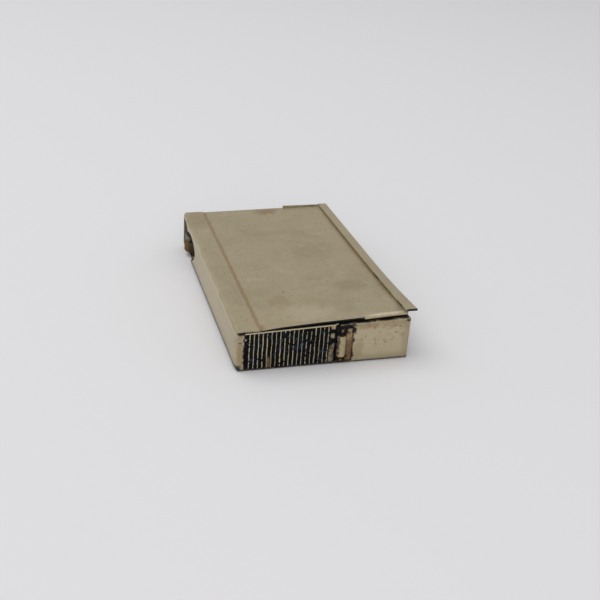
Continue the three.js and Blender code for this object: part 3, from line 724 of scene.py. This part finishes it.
# %% Using the tree
def use_tree(piece, tree, sockets, **values):
    """Sets the tree's inputs by their sockets' identifiers, and keeps the result as a plain mesh."""
    modifier = piece.modifiers.new(tree.name, "NODES")
    modifier.node_group = tree
    for label, value in values.items():
        modifier[sockets[label]] = value
    return plain_mesh(piece)


# %% The ribbed plate
def striker_metal():
    paint = nickel_silver("striker_metal", linear(172, 160, 126), 0.35, 0.5)
    paint.paint(paint.beyond(at(0, 0.03, 0), (0, 1, 0), 0.07, 0.2, 0.5), BLACK)
    # Painted contact shadow: a black line along the plate's bottom.
    paint.stain(10.0, 0.0, 0.2, (16.0, 1.0, 0.5), BLACK, 1.0, 0.3, 0.5)
    paint.cloud(1.6, 0.48, 0.66, linear(116, 113, 106), 0.55)
    paint.stain(6.5, 0.1, 1.6, (0.55, 0.6, 1.9), linear(104, 82, 52), 0.9, 0.7, 0.5)
    bare = linear(156, 140, 106)
    paint.stain(19.1, 0.2, 2.0, (1.1, 0.6, 3.2), bare, 1.0, 0.9, 0.5)
    paint.stain(19.1, 0.2, 6.2, (0.7, 0.6, 1.4), bare, 0.9, 0.9, 0.4)
    paint.stain(19.4, 0.2, 8.1, (1.4, 0.6, 0.7), bare, 1.0, 0.5, 0.4)
    paint.stain(19.3, 0.2, 3.4, (0.6, 0.6, 2.2), BROWN, 0.8, 1.6, 0.35)
    paint.stain(18.9, 0.2, 2.6, (0.8, 0.6, 2.6), GRIME_AND_SHADE, 0.8, 2.4, 0.3)
    return paint.finish()


striker_finish = striker_metal()
first_height = plate_top(FIRST_RIB) - PLATE_RIM / 2 - PLATE_BOTTOM
tree, sockets = rib_tree()
growth = RIM_SLOPE * RIB_PITCH / first_height
ribs = use_tree(one_rib(first_height), tree, sockets, Growth=growth, Finish=striker_finish)
ribs.data.transform(Matrix.Translation(at(FIRST_RIB, 0, PLATE_BOTTOM)))
settle(smooth_by_angle(ribs, 60), "striker_plate", striker_finish)


# %% The plate behind the ribs, and its rim
def slab(name, outline, front, back):
    """A flat sheet facing -Y, from an outline in X and Z."""
    work = bmesh.new()
    near_face = work.faces.new([work.verts.new(at(x, front, z)) for x, z in outline])
    grown = bmesh.ops.extrude_face_region(work, geom=[near_face])
    moved = [v for v in grown["geom"] if isinstance(v, bmesh.types.BMVert)]
    bmesh.ops.translate(work, verts=moved, vec=Vector((0, back - front, 0)) * MM)
    return mesh_piece(name, work)


STUD = (0.5 * (low("catch_stud") + high("catch_stud")) - CORNER) / MM
STUD_GAP = 0.12
STUD_ROOM = 0.5 * (high("catch_stud").z - low("catch_stud").z) / MM + STUD_GAP


def plate_left(z):
    """The plate's left border, which steps round the catch stud."""
    inside = STUD_ROOM ** 2 - (z - STUD.z) ** 2
    return STUD.x + math.sqrt(inside) if inside > 0 else PLATE_LEFT


def rim_line(below):
    return [(x, plate_top(x) - below) for x in (PLATE_RIGHT, PLATE_LEFT)]


notch = [STUD.z + STUD_ROOM * (1 - k / 6) for k in range(13)]
plate_outline = [(PLATE_LEFT, PLATE_BOTTOM), (PLATE_RIGHT, PLATE_BOTTOM), *rim_line(0),
                 (PLATE_LEFT, notch[0]), *((plate_left(z), z) for z in notch[1:-1]), (PLATE_LEFT, notch[-1])]
BACKING = 0.18
backing = slab("striker_backing", plate_outline, RIB_HEIGHT, RIB_HEIGHT + BACKING)
settle(soften(backing, 0.03), "striker_plate", striker_finish)
rim = slab("striker_rim", rim_line(PLATE_RIM)[::-1] + rim_line(0), 0.0, RIB_HEIGHT)
rim_paint = nickel_silver("striker_rim_metal", METAL_LIGHT, 0.4)
# Painted shade: black on the top edge behind the rim's face, in the gap under the lid.
top_edge = rim_paint.beyond(at(0, 0, RIM_LEFT - 0.12), (-RIM_SLOPE, 0, 1), 0.05, 0.02)
behind = rim_paint.beyond(at(0, RIB_HEIGHT + 0.1, 0), (0, 1, 0), 0.05, 0.02)
rim_paint.paint(rim_paint.both(top_edge, behind), BLACK)
rim_finish = rim_paint.finish()
settle(soften(rim, 0.07, 3), "striker_plate", rim_finish)
dress("striker_flap", "flap_sheet", rim_finish, 0.04)

# %% [markdown]
# Years of struck flint and burnt fuel have filled the grooves with a dark crust that shines blue in places. A
# flat dark colour would look printed, so the crust is a real skin: a fine grid whose thickness follows noise,
# so that it climbs some ribs, breaks at others, and dips under the metal where it has fallen away.

# %% The crust's finish
def crust_finish():
    paint = Painter("crust", linear(6, 6, 9), 0.6, shine=0.07)
    blue = paint.mottle(0.9, 0.57, 0.65)
    paint.paint(blue, linear(27, 43, 64), 0.85)
    paint.cloud(0.5, 0.62, 0.7, linear(66, 82, 100), 0.6)
    paint.cloud(1.9, 0.64, 0.74, linear(70, 60, 48), 0.5)
    paint.roughen(0.16, 0.02, 0.4, 0.7)
    paint.dull(blue, -0.2)
    return paint.finish()


# %% A closed skin with an uneven thickness
SUNK = 0.06
GRID = 0.055


def crust_sheet(name, left, right, bottom, top, base, thickness, step=GRID):
    """A skin on a wall that faces -Y. left(z) and top(x) are its borders, thickness(x, z) its height."""
    columns = int((right - left(bottom)) / step)
    rows = int((top(right) - bottom) / step)
    work = bmesh.new()
    grid = []
    for i in range(columns + 1):
        line = []
        for k in range(rows + 1):
            start = left(bottom + (top(left(bottom)) - bottom) * k / rows)
            x = start + (right - start) * i / columns
            z = bottom + (top(x) - bottom) * k / rows
            on_border = i in (0, columns) or k in (0, rows)
            line.append(work.verts.new(at(x, base + SUNK if on_border else base - thickness(x, z), z)))
        grid.append(line)
    for here, beside in zip(grid, grid[1:]):
        for k in range(rows):
            work.faces.new((here[k], beside[k], beside[k + 1], here[k + 1]))
    lower = [line[0] for line in grid]
    upper = [line[-1] for line in grid[-2::-1]]
    border = lower + grid[-1][1:] + upper + grid[0][-2:0:-1]
    work.faces.new(border[::-1])
    return smooth_by_angle(mesh_piece(name, work), 80)


def rough(x, z, size_x, size_z, seed):
    return noise.noise(Vector((x / size_x, z / size_z, seed)))


def inside_patch(x, z, centre_x, centre_z, half_x, half_z):
    """1 at a patch's centre, falling to 0 at its border."""
    return max(0.0, 1 - math.hypot((x - centre_x) / half_x, (z - centre_z) / half_z))


# %% Crust in the grooves and on the plain strip beside them
def groove_crust(x, z):
    """Fills the grooves unevenly: one bare place low on the left and three that stand out."""
    thick = 0.17 + 0.05 * rough(x, z, 1.1, 2.6, 1.7) + 0.08 * rough(x, z, 0.3, 0.6, 5.1)
    thick += 0.5 * max(0.0, rough(x, z, 0.34, 0.4, 9.3) - 0.3)
    for more, *patch in ((-0.5, 6.6, 1.2, 0.75, 2.3), (0.2, 2.0, 7.4, 0.6, 0.8),
                         (0.3, 14.2, 8.0, 0.6, 0.7), (0.3, 9.4, 7.2, 0.6, 0.7)):
        thick += more * inside_patch(x, z, *patch)
    return max(-0.05, min(RIB_HEIGHT - 0.01, thick))


def strip_crust(x, z):
    """Two thick patches and two upright lines on a strip that is nearly bare."""
    thick = -0.16 + 0.1 * rough(x, z, 0.5, 1.0, 2.2)
    thick += 0.7 * inside_patch(x, z, 19.0, 7.15, 1.0, 0.55)
    thick += 0.45 * inside_patch(x, z, 18.9, 5.0, 0.8, 1.0)
    thick += 0.42 * max(0.0, 1 - abs(x - 19.6 - 0.2 * rough(x, z, 1.0, 1.6, 6.0)) / 0.35)
    thick += 0.3 * max(0.0, 1 - abs(x - 18.4) / 0.3) if z > 3.4 else 0.0
    return max(-0.05, min(0.2, thick))


def below_rim(x):
    return plate_top(x) - PLATE_RIM * 0.8


crust = crust_finish()
GROOVES_RIGHT = LAST_RIB + 0.35
groove_skin = crust_sheet("groove_crust", lambda z: plate_left(z) + 0.02, GROOVES_RIGHT, PLATE_BOTTOM,
                          below_rim, RIB_HEIGHT, groove_crust)
settle(groove_skin, "striker_plate", crust)
strip_skin = crust_sheet("strip_crust", lambda z: GROOVES_RIGHT - 0.1, PLATE_RIGHT, PLATE_BOTTOM,
                         below_rim, RIB_HEIGHT, strip_crust)
settle(strip_skin, "striker_plate", crust)


# %% Crust at the plate's right edge
def edge_crust(x, z):
    return 0.16 + 0.12 * rough(x, z, 0.4, 0.7, 4.4)


FLAP_FRONT = 0.47
FLAP_RIGHT = (high("striker_flap").x - CORNER.x) / MM
edge_skin = crust_sheet("edge_crust", lambda z: PLATE_RIGHT - 0.04, FLAP_RIGHT - 0.02, PLATE_BOTTOM,
                        lambda x: plate_top(x) - PLATE_RIM, FLAP_FRONT, edge_crust, 0.045)
settle(edge_skin, "striker_flap", crust)

# %% [markdown]
# The hinge has had the hardest life. Its steel leaf is rusted brown, the brass pin shows orange heads, and
# soot has packed the window around them. The knuckle in the middle is rubbed bright by the thumb that opens
# the flap.

# %% Finishes of the hinge
def rust_finish():
    paint = Painter("rusted_steel", linear(102, 79, 55), 0.8, 0.15, 0.3)
    paint.cloud(1.2, 0.45, 0.65, linear(142, 112, 80), 0.7)
    paint.cloud(0.7, 0.52, 0.68, linear(78, 52, 34), 0.8)
    paint.cloud(0.4, 0.62, 0.72, linear(36, 28, 24), 0.8)
    paint.stain(22.6, 0.4, 6.8, (1.1, 0.8, 2.6), linear(156, 134, 102), 0.75, 1.1, 0.6)
    # Painted shade along both edges of the leaf, beside the window's edge and beside the knuckle.
    paint.stain(23.2, 0.5, 4.0, (0.3, 0.8, 4.0), GRIME_AND_SHADE, 0.5, 1.4, 0.6)
    paint.stain(21.6, 0.5, 4.0, (0.3, 0.8, 4.0), GRIME_AND_SHADE, 0.6, 0.8, 0.6)
    for z in (6.55, 1.2):
        paint.stain(20.9, 0.2, z, (1.9, 1.9, 0.7), BLACK, 1.0, 0.4, 0.5)
    paint.roughen(0.5, 0.05)
    return paint.finish()


def pin_finish():
    paint = Painter("tarnished_brass_pin", linear(38, 34, 34), 0.6, 0.2, 0.2)
    paint.stain(20.92, -0.1, 7.35, (0.34, 0.4, 0.36), linear(150, 96, 50), 1.0, 0.6, 0.3)
    paint.stain(20.85, -0.1, 0.9, (0.3, 0.4, 0.3), linear(122, 82, 46), 0.9, 0.7, 0.3)
    paint.cloud(0.4, 0.56, 0.66, linear(84, 88, 92), 0.6)
    paint.roughen(0.3, 0.03)
    return paint.finish()


def knuckle_finish():
    paint = nickel_silver("rubbed_knuckle", linear(170, 158, 122), 0.3, 0.5)
    paint.cloud(0.9, 0.52, 0.68, linear(120, 104, 70), 0.7)
    paint.paint(paint.pits(0.7, 0.16, 0.35), GRIME_AND_SHADE, 0.6)
    # Painted shade in the groove between the knuckle and the flap.
    paint.stain(20.2, 0.2, 3.9, (0.3, 1.6, 3.0), BLACK, 0.8, 1.2, 0.5)
    paint.roughen(0.6, 0.04)
    return paint.finish()


# %% Dress the hinge and the stud
dress("hinge_leaf", "hinge_leaf_plate", rust_finish(), 0.06)
dress("hinge_pin", "hinge_pin_brass", pin_finish())
dress("flap_knuckle", "knuckle", knuckle_finish(), 0.08, 3)
dress("door_frame", "door_frame_sheet", inner_finish, 0.04)
stud_finish = nickel_silver("stud_metal", linear(104, 112, 124), 0.4, 0.5).finish()
dress("catch_stud", "stud", stud_finish, 0.06, 3)

# %% Soot packed in the hinge window
WINDOW_LEFT = 20.1
WINDOW_RIGHT = 23.15
WINDOW_BASE = 0.44
PIN_X = 20.9


def window_soot(x, z):
    """Thickest at the window's top, round both ends of the pin and along the right border."""
    thick = -0.12 + 0.12 * rough(x, z, 0.5, 0.8, 3.3) + 0.07 * rough(x, z, 0.2, 0.3, 7.9)
    thick += 0.5 * max(0.0, 1 - abs(z - 8.0) / 0.8)
    thick += 0.4 * inside_patch(x, z, PIN_X, 7.2, 0.95, 0.9)
    thick += 0.35 * inside_patch(x, z, PIN_X, 0.9, 0.9, 0.7)
    border = max(0.0, 1 - abs(x - WINDOW_RIGHT + 0.12 * rough(x, z, 1, 0.7, 1.1)) / 0.32)
    thick += border * (0.35 if z > 6.4 else max(0.0, 0.9 * rough(0.0, z, 1, 0.9, 8.2) - 0.12))
    return max(-0.05, min(0.34, thick))


def soot_finish():
    paint = Painter("soot", linear(14, 12, 13), 0.6, shine=0.12)
    paint.cloud(0.9, 0.56, 0.66, linear(62, 72, 84), 0.8)
    paint.cloud(0.5, 0.6, 0.7, linear(104, 84, 58), 0.6)
    paint.roughen(0.2, 0.03)
    return paint.finish()


WINDOW_BOTTOM = 0.5
WINDOW_TOP = RIM_LEFT + RIM_SLOPE * 23.2 - 0.44
soot = crust_sheet("window_soot", lambda z: WINDOW_LEFT, WINDOW_RIGHT, WINDOW_BOTTOM, lambda x: WINDOW_TOP,
                   WINDOW_BASE, window_soot, 0.05)
settle(soot, "door_frame", soot_finish())

# %% [markdown]
# Brown dirt has packed the seam where the sliding lid meets the fixed band. Without it a hard black line
# would show there. It is a narrow wavy ribbon, a little below both sheets, and it stays with the case. A plug
# of the same dirt closes the small gap between the far lip and the rail.

# %% Dirt in the seam
SEAM_LEFT = 4.5
SEAM_RIGHT = (low("lid_panel").x - CORNER.x) / MM + 0.03


def seam_ribbon(steps=160):
    work = bmesh.new()
    rings = []
    for k in range(steps + 1):
        y = 0.25 + (CASE_LENGTH - 0.9) * k / steps
        z = 8.6 + 0.02 * noise.noise(Vector((0, y / 1.3, 4.0)))
        corners = [(SEAM_LEFT, z), (SEAM_RIGHT, z - 0.02), (SEAM_RIGHT, z - 0.1), (SEAM_LEFT, z - 0.1)]
        rings.append([work.verts.new(at(x, y, height)) for x, height in corners])
    join_rings(work, rings)
    return mesh_piece("seam_dirt", work)


def dirt_finish():
    paint = Painter("packed_dirt", linear(148, 124, 88), 0.9)
    paint.cloud(1.6, 0.45, 0.65, linear(118, 96, 64), 0.8)
    paint.roughen(0.3, 0.03)
    return paint.finish()


dirt = dirt_finish()
settle(seam_ribbon(), "case_shell", dirt)
LIP_END = (low("right_rail").x - CORNER.x) / MM
plug_left, plug_right = LIP_END - 0.12, LIP_END + 0.02
plug_outline = [(plug_left, 8.9), (plug_right, 8.9), (plug_right, 9.6), (plug_left, 9.6)]
settle(slab("lip_dirt", plug_outline, CASE_LENGTH - 0.4, CASE_LENGTH - 0.08), "case_shell", dirt)

# %% [markdown]
# Wheels in the cut-away corner: a brass thumb wheel below and a hardened steel spark wheel above it. Both
# carry teeth from the model. Oil and flint dust darken the hollows, so the brass is deep brown and hardly
# shines. Their near sides in the notch, and the steel wheel's top under the band, carry painted shade.

# %% Wheels and their spindle
def brass(name, tone, dark, roughness=0.42, metallic=0.6):
    paint = Painter(name, tone, roughness, metallic)
    paint.cloud(3.0, 0.4, 0.68, dark, 0.7)
    paint.cloud(0.6, 0.5, 0.7, linear(70, 52, 26), 0.55)
    paint.paint(paint.hairlines(0.05, 3.0, 1.2), linear(190, 160, 100), 0.3)
    paint.dull(paint.mottle(1.2, 0.4, 0.7), 0.15)
    paint.lift(paint.pits(0.9, 0.12, 0.3), -0.03)
    return paint


def steel(name, tone, roughness=0.38):
    paint = Painter(name, tone, roughness, 0.75)
    paint.cloud(1.6, 0.45, 0.68, linear(92, 84, 74), 0.6)
    paint.cloud(0.5, 0.55, 0.7, linear(98, 66, 40), 0.5)
    paint.paint(paint.hairlines(0.04, 4.0, 0.2), linear(196, 194, 188), 0.25)
    paint.lift(paint.pits(0.8, 0.1, 0.3), -0.02)
    return paint


wheel_brass = brass("thumb_wheel_brass", linear(120, 93, 42), linear(76, 57, 26))
# Painted shade: the wheels' near sides are darkened as the notch's shadow.
wheel_brass.stain(0.6, 50.9, 2.6, (2.6, 1.3, 3.0), linear(60, 47, 26), 1.0, 0.3, 1.0)
wheel_steel = steel("spark_wheel_steel", linear(128, 122, 116))
# Painted shade on the steel wheel's top, under the band.
wheel_steel.stain(2.4, 53.5, 5.35, (3.4, 3.4, 0.28), linear(52, 54, 48), 0.9, 0.4, 1.0)
wheel_steel.stain(0.6, 51.0, 4.6, (2.6, 1.2, 3.0), linear(40, 40, 38), 1.0, 0.3, 1.0)
dress("thumb_wheel", "thumb_wheel_knurled", wheel_brass.finish(), 0.04)
dress("spark_wheel", "spark_wheel_toothed", wheel_steel.finish(), 0.04)
dress("wheel_spindle", "spindle", steel("spindle_steel", linear(132, 128, 122)).finish())

# %% [markdown]
# Inside, hardly anything shows while the lid is shut, but it slides and the flap opens, so each hidden piece
# gets its finish too: brass tube, flint, follower, screw and burner, and a spring of bright steel wire.

# %% Flint works and burner
clean_brass = brass("brass_inside", linear(148, 122, 74), linear(108, 86, 50)).finish()
wire_steel = steel("spring_steel", linear(150, 148, 144)).finish()


def flint_finish():
    paint = Painter("flint_rod", linear(66, 62, 60), 0.7, 0.4)
    paint.cloud(0.6, 0.45, 0.65, linear(92, 84, 76), 0.7)
    paint.roughen(0.2, 0.02)
    return paint.finish()


for node, name, finish in (
        ("flint_tube", "flint_tube_brass", clean_brass), ("flint_follower", "follower", clean_brass),
        ("flint_screw", "screw", clean_brass), ("burner_tube", "burner", clean_brass),
        ("flint_spring", "spring", wire_steel), ("flint", "flint_rod", flint_finish())):
    dress(node, name, finish)

# %% [markdown]
# Cotton wadding holds the fuel. It is a loose mass, pushed in by hand, so it is lumpy on top and pressed
# flat where the walls hold it. The block is a closed grid whose points follow two sizes of noise, then one
# subdivision. A cloth simulation suits a sewn cushion with a skin. Loose fibre has none, so its lumps are
# made in code.

# %% A soft block
def soft_block(name, node, columns, rows, layers, push):
    """A closed block that fills a node's box; push(point, share) gives the offset of each surface point."""
    bottom, top = low(node), high(node)
    size = top - bottom
    work = bmesh.new()
    bmesh.ops.create_grid(work, x_segments=columns, y_segments=rows, size=0.5)
    grown = bmesh.ops.extrude_face_region(work, geom=list(work.faces))
    upper = [v for v in grown["geom"] if isinstance(v, bmesh.types.BMVert)]
    bmesh.ops.translate(work, verts=upper, vec=Vector((0, 0, 1)))
    walls = [e for e in work.edges if abs(e.verts[0].co.z - e.verts[1].co.z) > 0.5]
    bmesh.ops.subdivide_edges(work, edges=walls, cuts=layers - 1, use_grid_fill=True)
    for vert in work.verts:
        share = Vector((vert.co.x + 0.5, vert.co.y + 0.5, vert.co.z))
        flat = Vector((share.x * size.x, share.y * size.y, share.z * size.z)) + bottom
        vert.co = flat + push(flat, share)
    piece = mesh_piece(name, work)
    subdivide = piece.modifiers.new("softness", "SUBSURF")
    subdivide.levels = 1
    subdivide.render_levels = 1
    plain_mesh(piece).data.shade_smooth()
    return piece


# %% Wadding
LUMP = 4.5 * MM
TUFT = 1.3 * MM


def lumps(point, share):
    """Pulls the surface in by up to a millimetre, most on top and at the corners."""
    big = 0.5 + 0.5 * noise.noise(point / LUMP)
    small = 0.5 + 0.5 * noise.noise(point / TUFT + Vector((7, 3, 1)))
    inward = (Vector((0.5, 0.5, 0.5)) - share) * 2
    corner = sum(abs(v) ** 6 for v in inward)
    sink = (0.072 + 0.12 * small) * MM
    top_dip = (0.15 + 0.42 * big) * MM * share.z ** 2
    return inward * sink * corner - Vector((0, 0, top_dip))


def cotton_finish():
    """Cotton with crossing fibres, with painted shade along its near top edge, where the shut lid shades it.
    """
    paint = Painter("cotton", linear(232, 224, 205), 1.0)
    paint.cloud(6.0, 0.4, 0.7, linear(206, 190, 156), 0.5)
    fibres = paint.hairlines(0.06, 2.0, 0.6)
    crossing = paint.hairlines(0.06, 1.6, 2.1)
    paint.paint(fibres, linear(252, 248, 238), 0.5)
    paint.paint(crossing, linear(180, 168, 142), 0.4)
    paint.lift(fibres, 0.05)
    paint.lift(crossing, 0.05)
    # Painted shade: the cotton darkens towards its near top edge.
    near_end = paint.beyond(at(0, 7.6, 0), (0, -1, 0), 1.2, 0.8, 1.0)
    upper = paint.beyond(at(0, 0, 4.9), (0, 0, 1), 0.8, 0.5, 1.0)
    paint.paint(paint.both(near_end, upper), linear(40, 34, 28), 0.95)
    return paint.finish()


wadding = soft_block("wadding", "cotton_wadding", 40, 52, 10, lumps)
settle(wadding, "cotton_wadding", cotton_finish())

# %% Felt pad over the wadding
def felt_waves(point, share):
    """Draws the sides in a little and lets the flat of the pad wave."""
    edge = max(abs(share.x - 0.5), abs(share.y - 0.5)) * 2
    wave = noise.noise(point / (6 * MM)) * 0.1 * MM
    return Vector((0.5 - share.x, 0.5 - share.y, 0)) * 0.3 * MM + Vector((0, 0, wave * (1 - edge)))


def felt_material():
    paint = Painter("felt", linear(201, 190, 164), 1.0)
    paint.cloud(5.0, 0.4, 0.7, linear(176, 160, 128), 0.6)
    fuzz = paint.mottle(0.25, 0.4, 0.65)
    paint.paint(fuzz, linear(222, 212, 190), 0.5)
    paint.lift(fuzz, 0.06)
    paint.lift(paint.hairlines(0.05, 1.0, 0.9), 0.05)
    return paint.finish()


felt = soft_block("felt_pad", "felt_cover", 40, 52, 2, felt_waves)
settle(felt, "felt_cover", felt_material())

# %% [markdown]
# The wick is a cord of twisted cotton yarns that fills the burner tube. Six yarns wound round a seventh give
# the rope look at its tip, which is frayed and scorched.

# %% Wick
YARNS = 6
YARN_SHARE = 0.36
WICK_TWISTS = 3.2


def circle_point(angle, radius):
    return Vector((math.cos(angle), 0, math.sin(angle))) * radius


def wick_mesh(steps=64, sides=8):
    bottom, top = low("wick"), high("wick")
    radius = (top.x - bottom.x) / 2
    yarn = radius * YARN_SHARE
    centre = Vector(((top.x + bottom.x) / 2, 0, (top.z + bottom.z) / 2))
    work = bmesh.new()
    for strand in range(YARNS + 1):
        orbit = 0.0 if strand == YARNS else radius - yarn
        start = 2 * math.pi * strand / YARNS
        rings = []
        for k in range(steps + 1):
            share = k / steps
            angle = start + 2 * math.pi * WICK_TWISTS * share
            fray = 1 - 2.5 * max(0.0, share - 0.9)
            middle = centre + circle_point(angle, orbit * fray)
            middle.y = bottom.y + (top.y - bottom.y) * share
            thin = yarn * (1 - 6 * max(0.0, share - 0.93))
            turns = [2 * math.pi * i / sides for i in range(sides)]
            rings.append([work.verts.new(middle + circle_point(turn, thin)) for turn in turns])
        join_rings(work, rings)
    return mesh_piece("wick_yarns", work)


def wick_finish():
    paint = Painter("wick_cotton", linear(222, 212, 190), 1.0)
    fibres = paint.hairlines(0.05, 1.2, 0.4)
    paint.paint(fibres, linear(186, 172, 142), 0.6)
    tip = (high("wick") - CORNER) / MM
    paint.stain(tip.x - 1.2, tip.y, tip.z - 1.2, (2.4, 1.6, 2.4), linear(38, 32, 28), 0.9, 0.5, 0.6)
    paint.lift(fibres, 0.05)
    return paint.finish()


wick = wick_mesh()
wick.data.shade_smooth()
settle(wick, "wick", wick_finish())

# %% [markdown]
# The lighter lies on a pale sheet of paper under one big soft lamp, with light from all round it. The metal
# mirrors the paper and the lamp. The lamp hangs high at the back left, a fill stands in front, and the plain
# world keeps the shadows soft and light.

# %% Stage and light
FLOOR_COLOUR = linear(211, 210, 212)
FLOOR_SIZE = 6.0


def add_floor():
    half = FLOOR_SIZE / 2
    mesh = bpy.data.meshes.new("floor")
    corners = [(-half, -half, 0), (half, -half, 0), (half, half, 0), (-half, half, 0)]
    mesh.from_pydata(corners, [], [(0, 1, 2, 3)])
    paint = Painter("pale_paper", FLOOR_COLOUR, 0.9)
    paint.roughen(4.0, 0.01)
    mesh.materials.append(paint.finish())
    new_piece("floor", mesh)


def add_lamp(name, place, size, watts):
    data = bpy.data.lights.new(name, "AREA")
    data.shape = "DISK"
    data.size = size
    data.energy = watts
    lamp = bpy.data.objects.new(name, data)
    lamp.location = place
    lamp.rotation_euler = (-Vector(place)).to_track_quat("-Z", "Y").to_euler()
    bpy.context.scene.collection.objects.link(lamp)


def add_world(strength):
    world = bpy.data.worlds.new("studio")
    world.use_nodes = True
    bpy.context.scene.world = world
    background = world.node_tree.nodes["Background"]
    background.inputs["Color"].default_value = (1.0, 1.0, 1.0, 1)
    background.inputs["Strength"].default_value = strength


add_floor()
add_lamp("high lamp", (-0.35, 0.2, 0.9), 0.9, 4.2)
add_lamp("front fill", (-0.35, -1.15, 0.55), 1.4, 8.5)
add_world(0.6)
bpy.context.scene.view_settings.view_transform = "Standard"
